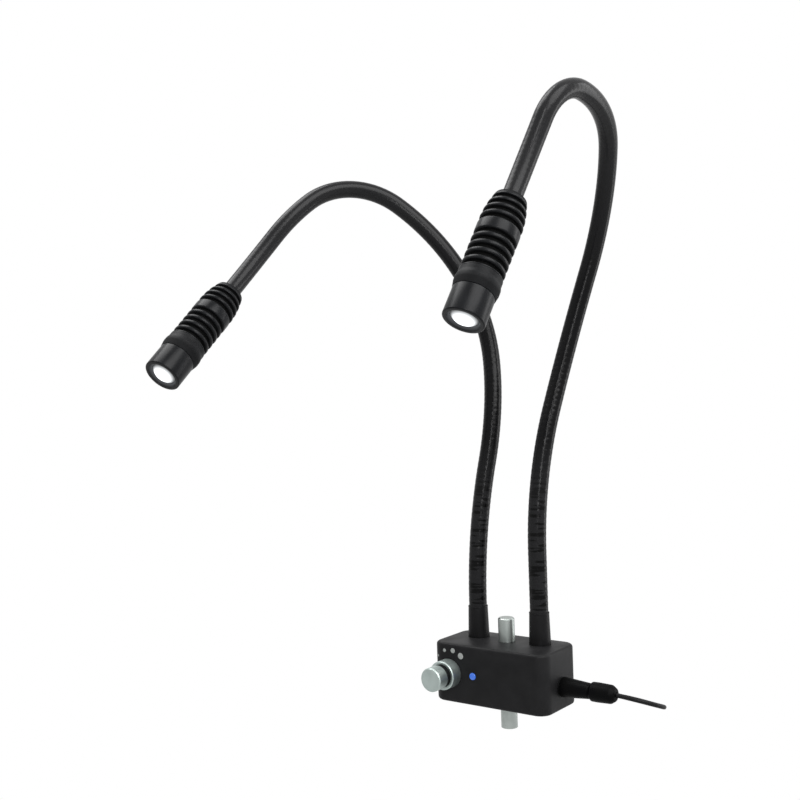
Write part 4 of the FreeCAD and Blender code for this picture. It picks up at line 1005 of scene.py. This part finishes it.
# %% [markdown]
# ## Level marks and indicator
#
# Four dots of pale ink are printed round the knob, and grow clockwise. They are thin discs
# that lie on the front face; the first one reaches the box's rounded corner, so its points
# are moved back onto the round. The indicator is a small domed blue lamp in the front wall.

# %% Marks and indicator
DOTS = ((-41.5, 15.0, 0.9), (-12, 16.4, 1.25), (13, 17.0, 1.8), (38, 17.0, 2.25))
INK_SINK = 0.05
ink, ink_shader = plain_material("print_ink", "#969997", 0.6)
tint(ink, ink_shader, noise(ink, 0.4), "#8c8f8d", "#9c9f9d")


def make_dots():
    """Each dot is an angle from upright, a distance from the knob's axis and a radius."""
    bend_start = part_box("housing")[0].x / MM + BOX_CORNER
    for number, (angle, ring, radius) in enumerate(DOTS, 1):
        lean = math.radians(angle)
        place = (
            KNOB_X + ring * math.sin(lean),
            FRONT_Y,
            KNOB_Z + ring * math.cos(lean),
        )
        outline = ((0, -INK_SINK), (radius, -INK_SINK), (radius, 0.04, 0.02), (0, 0.05))
        mesh = turned("dot", outline, axes(place, FORWARD), steps=40)
        for vertex in mesh.vertices:
            past = max(0.0, bend_start - vertex.co.x / MM)
            vertex.co.y += (BOX_CORNER - math.sqrt(BOX_CORNER**2 - past**2)) * MM
        dot = show("level_dot_%d" % number, mesh, "box", "box_black")
        dot.data.materials[0] = ink


def make_indicator():
    placing = axes((LAMP_X, FRONT_Y + WALL, KNOB_Z), FORWARD)
    outline = (
        (0, -4.9),
        (2.9, -4.9, 0.2),
        (2.9, 0, 0.1),
        (2.5, 0),
        (2.5, WALL + 0.1),
        (2.35, WALL + 0.75, 0.8),
        (1.3, WALL + 1.15, 0.8),
        (0, WALL + 1.2),
    )
    mesh = turned("indicator", outline, placing, steps=64)
    show("indicator", mesh, "box", "lamp_blue", ["indicator_led"], sharp=60)


make_dots()
make_indicator()
print("level marks: %d; indicator" % len(DOTS))

# %% [markdown]
# ## Inlet and plug
#
# The lead's round plug is moulded in soft plastic. Its nose tapers from the box, and its
# barrel has rolled ends. Large fillets in the outline give it the slightly swollen look of
# a soft moulding, where straight cones would look machined.

# %% Inlet and plug
SIDE_X = 47.0
FLANGE = 1.0
NOSE_LENGTH = 21.5
NOSE_WIDE = 7.1
NOSE_NARROW = 5.45
PLUG_LENGTH = 19.3
PLUG_RADIUS = 6.75


def make_plug():
    placing = axes((SIDE_X, *INLET), RIGHT)
    outline = (
        (2.9, -6.0),
        (2.9, FLANGE),
        (6.5, FLANGE, 0.3),
        (6.5, 0, 0.1),
        (5.5, 0),
        (5.5, -17.0, 0.4),
        (0, -17.0),
    )
    mesh = turned("inlet", outline, placing)
    show("inlet", mesh, "box", "inlet_black", ["power_inlet"])
    end = FLANGE + NOSE_LENGTH
    outline = (
        (0, FLANGE),
        (NOSE_WIDE, FLANGE, 0.5),
        (NOSE_WIDE - 0.25, FLANGE + 4.0, 3.0),
        (NOSE_NARROW, end - 1.0, 0.6),
        (NOSE_NARROW - 0.5, end - 0.6, 0.3),
        (NOSE_NARROW - 0.5, end),
        (0, end),
    )
    mesh = turned("plug_sleeve", outline, placing)
    show("plug_sleeve", mesh, "box", "plug_black", ["plug_nose"])
    start = end
    end = start + PLUG_LENGTH
    outline = (
        (0, start),
        (PLUG_RADIUS - 1.5, start, 0.3),
        (PLUG_RADIUS - 0.1, start + 1.6, 0.9),
        (PLUG_RADIUS, start + 6.0, 3.0),
        (PLUG_RADIUS - 0.35, end - 3.6, 2.4),
        (PLUG_RADIUS - 2.4, end - 0.4, 1.6),
        (CORD_DIAMETER / 2 + 0.5, end, 0.2),
        (CORD_DIAMETER / 2 + 0.2, end - 0.6),
        (0, end - 0.6),
    )
    mesh = turned("plug_body", outline, placing)
    show("plug_body", mesh, "box", "plug_black", ["plug_barrel"])
    return end


print("plug: reaches %.1f mm from the box" % make_plug())

# %% [markdown]
# ## Coil tie and supply plug
#
# The lead's far end is a flat supply plug, strapped to the coil's side. Its grip is a
# rounded block with shallow cross ribs on its two flat sides, its boot is turned, and its
# metal shell is a block made hollow, with two windows and a tongue inside. The strap is a
# block with a smaller one taken out.

# %% Coil tie and supply plug
STRAP = 1.0
BOOT_LENGTH = 7.0
RIB_STEPS = 4
SHELL_WALL = 0.6


def make_tie():
    middle, extent = node_size("coil_tie")
    low = middle.z - extent.z / 2
    outer = block("tie_band", extent, (middle.x, middle.y, low), 3.0, 0.35, 8)
    size = (extent.x - 2 * STRAP, extent.y - 2 * STRAP, extent.z + 2 * SPARE)
    inner = block("cutter", size, (middle.x, middle.y, low - SPARE), 2.2, 0, 8)
    show("tie_band", carve(outer, [inner]), "box", "tie_black", ["coil_tie"])


def make_supply_grip():
    middle, extent = node_size("supply_plug_grip")
    low = middle.z - extent.z / 2
    grip_low = low + BOOT_LENGTH
    size = (extent.x, extent.y, extent.z - BOOT_LENGTH)
    body = block("supply_grip", size, (middle.x, middle.y, grip_low), 2.4, 0.8, 8)
    grooves = []
    for step in range(RIB_STEPS):
        for side in (-1, 1):
            x = middle.x + side * (extent.x / 2 + 0.1)
            place = (x, middle.y, grip_low + 6.0 + 2.2 * step)
            grooves.append(block("cutter", (0.9, 9.0, 0.8), place))
    show("supply_grip", carve(body, grooves), "box", "plug_black", ["supply_plug_grip"])
    outline = ((0, 0), (2.1, 0, 0.3), (2.7, BOOT_LENGTH), (0, BOOT_LENGTH))
    mesh = turned("supply_boot", outline, axes((middle.x, middle.y, low), UP), steps=48)
    show("supply_boot", mesh, "box", "plug_black")


def make_supply_shell():
    middle, extent = node_size("supply_plug_shell")
    low = middle.z - extent.z / 2
    outer = block("supply_shell", extent, (middle.x, middle.y, low), 0.5, 0.12, 4)
    size = (extent.x - 2 * SHELL_WALL, extent.y - 2 * SHELL_WALL, extent.z)
    cutters = [block("cutter", size, (middle.x, middle.y, low + SHELL_WALL))]
    for side in (-1, 1):
        place = (middle.x, middle.y + side * 2.6, low + 7.5)
        cutters.append(block("cutter", (extent.x * 2, 2.2, 2.2), place))
    shell = carve(outer, cutters)
    show("supply_shell", shell, "box", "contact_nickel", ["supply_plug_shell"])
    x = middle.x + extent.x / 2 - SHELL_WALL - 0.9
    size = (1.8, extent.y - 1.4, extent.z - 1.0)
    tongue = block("supply_tongue", size, (x, middle.y, low + SHELL_WALL), 0.1, 0.2, 2)
    show("supply_tongue", tongue, "box", "plug_black")


make_tie()
make_supply_grip()
make_supply_shell()
print("tie and supply plug; the lead is 1.42 m long")

# %% [markdown]
# ## Gooseneck centre lines
#
# A gooseneck is bent along arcs: a row is an arc's length, its bend in degrees, and the
# turn of the bend's plane before it, as in the CAD. Rows are grouped by link, and a hinge
# lies between two links. A curve drawn by hand would look alike, but exact arcs keep the
# skin on the CAD's own centre line.

# %% Gooseneck centre lines
LEFT_ROWS = (
    ((105, 14, 159),),
    ((79, 22, 92),),
    ((154, 57, 75),),
    ((78, 78, -7),),
    ((40.7, 15.9, -45.7), (61.3, 22.5, 128.8)),
)
RIGHT_ROWS = (
    ((40, 0, 0), (106, 25, 173)),
    ((106, 22, -135),),
    ((97, 51, -21),),
    ((66, 44, -26),),
    ((46.1, 79, 19.7), (59.9, 21.1, 141.6)),
)
NECK_FIRST_RISE = 25.5
STRAIGHT = 1e-9


class Arc:
    """One bend row in space: where it starts, its directions there and the section's
    frame, which is carried along without twist."""

    def __init__(self, begin, length, bend, place, ahead, lean, section):
        self.begin = begin
        self.length = length
        self.bend = math.radians(bend)
        self.place = place
        self.ahead = ahead
        self.lean = lean
        self.section = section

    def at(self, along):
        """The place, rotation from the row's start, at a distance along the whole hose."""
        run = along - self.begin
        if abs(self.bend) < STRAIGHT:
            return self.place + self.ahead * run, Matrix.Identity(3)
        radius = self.length / self.bend
        angle = run / radius
        spin = Matrix.Rotation(angle, 3, self.ahead.cross(self.lean))
        centre = self.place + self.lean * radius
        return centre + spin @ (self.place - centre), spin


class Neck:
    """A whole gooseneck's centre line, from the box's top to the head's rear face."""

    def __init__(self, side, rows):
        across = NECK_X * (-1 if side == "left" else 1)
        place = Vector((across, NECK_Y, BOX_TOP + NECK_FIRST_RISE))
        ahead = Vector(UP)
        lean = Vector(FORWARD)
        section = Matrix((lean, ahead.cross(lean), ahead)).transposed()
        self.arcs = []
        self.links = []
        along = 0.0
        for link in rows:
            self.links.append(along)
            for length, bend, turn in link:
                lean = Matrix.Rotation(math.radians(turn), 3, ahead) @ lean
                arc = Arc(along, length, bend, place, ahead, lean, section)
                along += length
                place, spin = arc.at(along)
                ahead, lean, section = spin @ ahead, spin @ lean, spin @ section
                self.arcs.append(arc)
        self.length = along
        self.links.append(along)
        self.end = place
        self.end_ahead = ahead
        self.end_lean = lean

    def frame(self, along):
        """The place and the section's frame at a distance, which may lie before the start
        or past the end."""
        arc = next((a for a in reversed(self.arcs) if along >= a.begin), self.arcs[0])
        if along < 0:
            return arc.place + arc.ahead * along, arc.section
        place, spin = arc.at(along)
        return place, spin @ arc.section


necks = {"left": Neck("left", LEFT_ROWS), "right": Neck("right", RIGHT_ROWS)}
for side, neck in necks.items():
    print("%s gooseneck: %.0f mm long" % (side, neck.length))

# %% [markdown]
# ## Hose skins
#
# The real neck is a wound steel hose in a close-fitting skin, through which the winding
# shows as a low screw of ribs. Rings of points follow the centre line, and a cosine of the
# way along less the way round makes the screw, so that no rib has to be drawn by itself.
# Four lengths of skin cross the four hinges between five links.

# %% Hose skins
HOSE_RADIUS = 6.65
HOSE_SIDES = 56
RIB_PITCH = 4.2
RIB_DEPTHS = ((0, 0.1), (120, 0.08), (260, 0.05), (330, 0.03), (600, 0.03))
RINGS_PER_RIB = 8
HOSE_FOOT = -20.0
HOSE_TAIL = 6.0


def rib_depth(along):
    """How deep the skin sinks between two ribs: deepest near the box."""
    for (low, depth), (high, next_depth) in zip(RIB_DEPTHS, RIB_DEPTHS[1:]):
        if along < high:
            share = max(0.0, (along - low) / (high - low))
            return depth + (next_depth - depth) * share
    return RIB_DEPTHS[-1][1]


def hose_skin(name, neck, start, end):
    """The skin between two distances along the neck, as rings of points."""
    rings = math.ceil((end - start) / RIB_PITCH * RINGS_PER_RIB)
    verts = []
    straight = []
    faces = []
    for ring in range(rings + 1):
        along = start + (end - start) * ring / rings
        depth = rib_depth(along)
        place, section = neck.frame(along)
        for side in range(HOSE_SIDES):
            angle = math.tau * side / HOSE_SIDES
            groove = 0.5 + 0.5 * math.cos(math.tau * along / RIB_PITCH - angle)
            radius = HOSE_RADIUS - depth * groove**2
            out = Vector((radius * math.cos(angle), radius * math.sin(angle), 0))
            verts.append((place + section @ out) * MM)
            straight += [out.x * MM, out.y * MM, along * MM]
            if ring < rings:
                here = ring * HOSE_SIDES + side
                beside = ring * HOSE_SIDES + (side + 1) % HOSE_SIDES
                faces.append((here, beside, beside + HOSE_SIDES, here + HOSE_SIDES))
    mesh = bpy.data.meshes.new(name)
    mesh.from_pydata(verts, [], faces)
    places = mesh.attributes.new("straight", "FLOAT_VECTOR", "POINT")
    places.data.foreach_set("vector", straight)
    return mesh


def make_hose(side, neck):
    """Four lengths of hose, each crossing one hinge."""
    hinges = neck.links[1:5]
    cuts = [HOSE_FOOT]
    cuts += [(a + b) / 2 for a, b in zip(hinges, hinges[1:])]
    cuts += [neck.length + HOSE_TAIL]
    for number, hinge in enumerate(hinges):
        name = "%s_hose_%d" % (side, number + 1)
        mesh = hose_skin(name, neck, cuts[number], cuts[number + 1])
        nodes = ["%s_neck_%d" % (side, number + 1)]
        if number == 3:
            nodes.append("%s_neck_5" % side)
        piece = show(name, mesh, None, "hose_black", nodes, sharp=80)
        place, section = neck.frame(hinge)
        ahead = section @ Vector(UP)
        ends = [abs((neck.frame(cut)[0] - place).dot(ahead)) for cut in cuts[number : number + 2]]
        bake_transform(piece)


print("hose skin: %d points round, a rib every %.1f mm" % (HOSE_SIDES, RIB_PITCH))

# %% [markdown]
# ## Neck sleeves
#
# A tapered sleeve holds each gooseneck on the box, with a small lip at its upper end and a
# stem through the wall that a nut holds from inside. Turning it as a closed outline makes
# the bore with it, which needs no Boolean.

# %% Neck sleeves
SLEEVE_HEIGHT = 23.0
SLEEVE_FLOOR = 3.0
STEM_DROP = 7.0
STEM_RADIUS = 5.0
WIRE_BORE = 2.7
HOSE_BORE = 6.7


def make_sleeve(side):
    middle = node_size("%s_neck_sleeve" % side)[0]
    outline = (
        (WIRE_BORE, -STEM_DROP),
        (STEM_RADIUS, -STEM_DROP, 0.3),
        (STEM_RADIUS, 0),
        (7.9, 0, 0.25),
        (7.75, 3.0, 4.0),
        (7.2, SLEEVE_HEIGHT - 1.6, 2.0),
        (7.16, SLEEVE_HEIGHT - 1.1, 0.1),
        (7.3, SLEEVE_HEIGHT - 0.85, 0.15),
        (7.3, SLEEVE_HEIGHT, 0.3),
        (HOSE_BORE, SLEEVE_HEIGHT, 0.1),
        (HOSE_BORE, SLEEVE_FLOOR),
        (WIRE_BORE, SLEEVE_FLOOR),
    )
    name = "%s_foot" % side
    mesh = turned(name, outline, axes((middle.x, middle.y, BOX_TOP), UP), closed=True)
    show(name, mesh, "box", "sleeve_black", ["%s_neck_sleeve" % side])


for side, neck in necks.items():
    make_sleeve(side)
    make_hose(side, neck)
    print("%s sleeve and its hose in four lengths" % side)

# %% [markdown]
# ## Heat sinks
#
# Each head starts with a finned heat sink: a bowed taper with four grooves, then a straight
# part with five. One function gives the outside radius at any place, so that the grooves
# follow the taper at one depth. A mark says how deep a point lies in a groove, which the
# finish reads to leave the grooves dull and darken them with painted shade; the rear face
# is marked for painted shade as well.

# %% Heat sinks
HEAD_STEPS = 120
SINK_LENGTH = 59.0
SINK_RADIUS = 14.0
SINK_REAR = 10.5
SINK_TAPER = 24.0
SINK_BOW = 1.2
SPIGOT_RADIUS = 12.5
SPIGOT_LENGTH = 2
SOCKET_DEPTH = 12.0
GROOVE_WIDTH = 3.0
GROOVE_DEPTH = 2.5
REAR_GROOVES = [5.25 + 5.55 * step for step in range(4)]
FRONT_GROOVES = [33.15 + 5.82 * step for step in range(5)]
REAR_FACE = 1.0
# The rear face's rim is darkened with painted shade by this share.
REAR_SHADE = 0.6


def skin_radius(along):
    """The heat sink's outside radius: a bowed taper, then straight."""
    share = min(along / SINK_TAPER, 1.0)
    return SINK_REAR + (SINK_RADIUS - SINK_REAR) * share + SINK_BOW * 4 * share * (1 - share)


def sink_outline():
    points = [(HOSE_BORE, 0), (skin_radius(0), 0, 0.8)]
    for middle in REAR_GROOVES + FRONT_GROOVES:
        low = middle - GROOVE_WIDTH / 2
        high = middle + GROOVE_WIDTH / 2
        floor = skin_radius(middle) - GROOVE_DEPTH
        points += [
            (skin_radius(low), low, 1.2),
            (floor, low + 0.1, 0.5),
            (floor, high - 0.1, 0.5),
            (skin_radius(high), high, 1.2),
        ]
    end = SINK_LENGTH + SPIGOT_LENGTH
    points += [(SINK_RADIUS, SINK_LENGTH, 0.3), (SPIGOT_RADIUS, SINK_LENGTH)]
    points += [(SPIGOT_RADIUS, end), (WIRE_BORE, end)]
    points += [(WIRE_BORE, SOCKET_DEPTH), (HOSE_BORE, SOCKET_DEPTH)]
    return points


# How deep a point lies in a groove, which gives it painted shade and dullness; the rear face gets
# painted shade too.
def shade_and_dull(radius, along):
    rear = REAR_SHADE if along < REAR_FACE else 0.0
    return min(1.0, max(rear, (skin_radius(along) - radius) / GROOVE_DEPTH))


def make_sink(side, placing):
    name = "%s_fins" % side
    mesh = turned(name, sink_outline(), placing, closed=True, steps=HEAD_STEPS)
    mark(mesh, "shade_and_dull", placing, shade_and_dull)
    show(name, mesh, "%s_arm_5" % side, "head_black", ["%s_heat_sink" % side])


print("heat sink: %d grooves" % len(REAR_GROOVES + FRONT_GROOVES))

# %% [markdown]
# ## Collars, barrels and lenses
#
# A collar with a swelling side sits on the sink's front, and the focus barrel slides in it
# with the lens. All are turned on the head's axis. The barrel and lens ride with the
# barrel's own body, so they slide as one. "lit" and "rim" are marks for the glow.

# %% Collars, barrels and lenses
COLLAR_RING = 3.8
COLLAR_RADIUS = 14.6
COLLAR_LENGTH = 12.8
BARREL_RADIUS = 13.5
BARREL_LENGTH = 19.2
BARREL_BORE = 10.7
MOUTH_RADIUS = 9.3
MOUTH_DEPTH = 2.6
MOUTH_BEVEL = 1.6
LENS_RADIUS = 9.2
LENS_SEAT = 10.6
COLLAR_END = SINK_LENGTH + COLLAR_LENGTH
BARREL_END = COLLAR_END + BARREL_LENGTH
LENS_FRONT = BARREL_END - MOUTH_DEPTH


def make_collar(side, placing):
    start = SINK_LENGTH
    end = COLLAR_END
    outline = (
        (12.55, start),
        (SINK_RADIUS, start, 0.2),
        (SINK_RADIUS, start + COLLAR_RING - 0.8, 4.0),
        (COLLAR_RADIUS, start + COLLAR_RING + 1.6, 4.0),
        (COLLAR_RADIUS, end - 4.5, 1.5),
        (13.7, end, 0.2),
        (12.5, end),
        (12.5, start + 3),
        (12.55, start + 3),
    )
    name = "%s_collar" % side
    mesh = turned(name, outline, placing, closed=True, steps=HEAD_STEPS)
    # Painted shade on the whole collar, darker on its slanted front.
    mark(mesh, "shade_and_dull", placing, lambda radius, along: 0.45 if along > end - 5.5 else 0.25)
    show(name, mesh, "%s_arm_5" % side, "head_black", ["%s_head_collar" % side])


def lit(radius, along):
    inside = along > LENS_FRONT - 0.1
    return max(0.0, (MOUTH_RADIUS + MOUTH_BEVEL - radius) / MOUTH_BEVEL) if inside else 0.0


def make_barrel(side, placing):
    end = COLLAR_END
    outline = (
        (BARREL_BORE, end - 8.0),
        (12.4, end - 8.0),
        (12.4, end + 0.1),
        (BARREL_RADIUS, end + 0.1, 0.3),
        (BARREL_RADIUS, BARREL_END, 0.9),
        (MOUTH_RADIUS + MOUTH_BEVEL, BARREL_END, 0.3),
        (MOUTH_RADIUS, LENS_FRONT, 0.2),
        (BARREL_BORE, LENS_FRONT),
    )
    name = "%s_tube" % side
    mesh = turned(name, outline, placing, closed=True, steps=HEAD_STEPS)
    # The bevel round the lens is marked for painted light.
    mark(mesh, "lit", placing, lit)
    show(name, mesh, "%s_barrel" % side, "head_black", ["%s_focus_barrel" % side])


def make_lens(side, placing):
    outline = (
        (0, LENS_FRONT - 2.0),
        (LENS_SEAT, LENS_FRONT - 2.0),
        (LENS_SEAT, LENS_FRONT),
        (LENS_RADIUS, LENS_FRONT),
        (8.0, LENS_FRONT + 1.05, 2.0),
        (6.0, LENS_FRONT + 2.4, 4.0),
        (3.2, LENS_FRONT + 3.55, 5.0),
        (0, LENS_FRONT + 4.0),
    )
    name = "%s_dome" % side
    mesh = turned(name, outline, placing, steps=72)
    mark(mesh, "rim", placing, lambda radius, along: radius / LENS_RADIUS)
    show(name, mesh, "%s_barrel" % side, "lens_clear", ["%s_lens" % side], sharp=60)


for side, neck in necks.items():
    placing = axes(neck.end, neck.end_ahead, neck.end_lean)
    make_sink(side, placing)
    make_collar(side, placing)
    make_barrel(side, placing)
    make_lens(side, placing)
    print("%s head at" % side, tuple(round(x, 1) for x in neck.end))

# %% [markdown]
# ## Inner pieces
#
# The pieces inside the box and the heads show only when those are opened. They keep their
# CAD meshes, since a second model of them would add nothing to the eye, and get finishes.

# %% Inner pieces
INNER = {
    "rod_bush": "bush_brass",
    "driver_board": "board_green",
    "board_screws": "fastener_steel",
    "inductor": "part_black",
    "capacitors": "can_metal",
    "potentiometer": "dial_metal",
    "potentiometer_shaft": "dial_metal",
    "plug_contact": "contact_nickel",
    "neck_nuts": "fastener_steel",
}
for side in ("left", "right"):
    for number in range(1, 6):
        INNER["%s_wire_%d" % (side, number)] = "wire_jacket"
    INNER["%s_light_board" % side] = "light_board"
    INNER["%s_lens_ring" % side] = "part_black"
for node, slot in INNER.items():
    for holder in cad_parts[node].material_slots:
        holder.material = finish[slot]
print("inner pieces:", len(INNER))

# %% [markdown]
# ## World and floor
#
# The camera, mirrors and glass see the background white, while the light that falls on the
# object stays low, so that black pieces keep their depth. A light path node tells the two
# apart. The floor lies far below: under the object it keeps its shadow, and further off
# it is as white as the world.

# %% World and floor
FLOOR_LEVEL = -250.0
FLOOR_SIZE = 8000.0
FLOOR_GLOW = {"From Min": 0.35, "From Max": 0.6, "To Min": 0.6, "To Max": 1.0}
AMBIENT = 0.12


def seen_directly(material):
    """1 for camera, glossy and transmission rays, and 0 for the rest."""
    path = add_node(material, "ShaderNodeLightPath")
    total = path.outputs["Is Camera Ray"]
    for other in ("Is Glossy Ray", "Is Transmission Ray"):
        inputs = {0: total, 1: path.outputs[other]}
        total = add_node(material, "ShaderNodeMath", inputs, operation="MAXIMUM").outputs[0]
    return total


def make_world():
    world = bpy.data.worlds.new("studio")
    bpy.context.scene.world = world
    world.use_nodes = True
    background = world.node_tree.nodes["Background"]
    background.inputs["Color"].default_value = (1, 1, 1, 1)
    inputs = {"Value": seen_directly(world), "To Min": AMBIENT, "To Max": 1.0}
    level = add_node(world, "ShaderNodeMapRange", inputs)
    feed(world, level.outputs["Result"], background, "Strength")


def make_floor():
    """FLOOR_GLOW says at which distances, in metres, the floor starts and ends to whiten."""
    bm = bmesh.new()
    bmesh.ops.create_grid(bm, x_segments=1, y_segments=1, size=FLOOR_SIZE / 2)
    mesh = to_mesh(bm, "floor", Matrix.Translation((0, 0, FLOOR_LEVEL)))
    floor = add_object("floor", mesh)
    material, shader = plain_material("floor_white", "#f4f4f4", 0.9)
    glow = add_node(material, "ShaderNodeEmission", {"Color": (1, 1, 1, 1), "Strength": 1.0})
    place = add_node(material, "ShaderNodeTexCoord").outputs["Object"]
    reach = add_node(material, "ShaderNodeVectorMath", {0: place}, operation="LENGTH")
    inputs = {"Value": reach.outputs["Value"], **FLOOR_GLOW}
    far_off = add_node(material, "ShaderNodeMapRange", inputs)
    inputs = {0: seen_directly(material), 1: far_off.outputs["Result"]}
    share = add_node(material, "ShaderNodeMath", inputs, operation="MULTIPLY").outputs[0]
    inputs = {"Fac": share, 1: shader.outputs["BSDF"], 2: glow.outputs["Emission"]}
    mix = add_node(material, "ShaderNodeMixShader", inputs)
    feed(material, mix.outputs["Shader"], material.node_tree.nodes["Material Output"], "Surface")
    mesh.materials.append(material)


make_world()
make_floor()
print("white world; floor at %.0f mm" % FLOOR_LEVEL)

# %% [markdown]
# ## Lights
#
# Four soft area lights all face one point of the object: a large one high on the right, a
# narrow strip in front that draws a line along round pieces, a large one high on the left,
# and a strip behind that lifts the edges off the ground. Area lights make wide, soft
# highlights on satin black, where point lights would make dots.

# %% Lights
LIGHTS = (
    ("key_light", (1050, -260, 1350), (1100, 1100), 28.0),
    ("front_strip", (800, -1060, 750), (160, 900), 8.0),
    ("top_light", (-700, -180, 1650), (1000, 1000), 22.0),
    ("rear_strip", (800, 850, 450), (300, 1300), 6.0),
)
TARGET = Vector((0, 0, 220))


def make_light(name, place, size, power):
    data = bpy.data.lights.new(name, "AREA")
    data.shape = "RECTANGLE"
    data.size = size[0] * MM
    data.size_y = size[1] * MM
    data.energy = power
    away = (Vector(place) - TARGET).normalized()
    add_object(name, data).matrix_world = Matrix.Translation(Vector(place) * MM) @ (
        away.to_track_quat("Z", "Y").to_matrix().to_4x4()
    )


for light in LIGHTS:
    make_light(*light)
bpy.context.scene.view_settings.view_transform = "Standard"
print("lights:", len(LIGHTS))
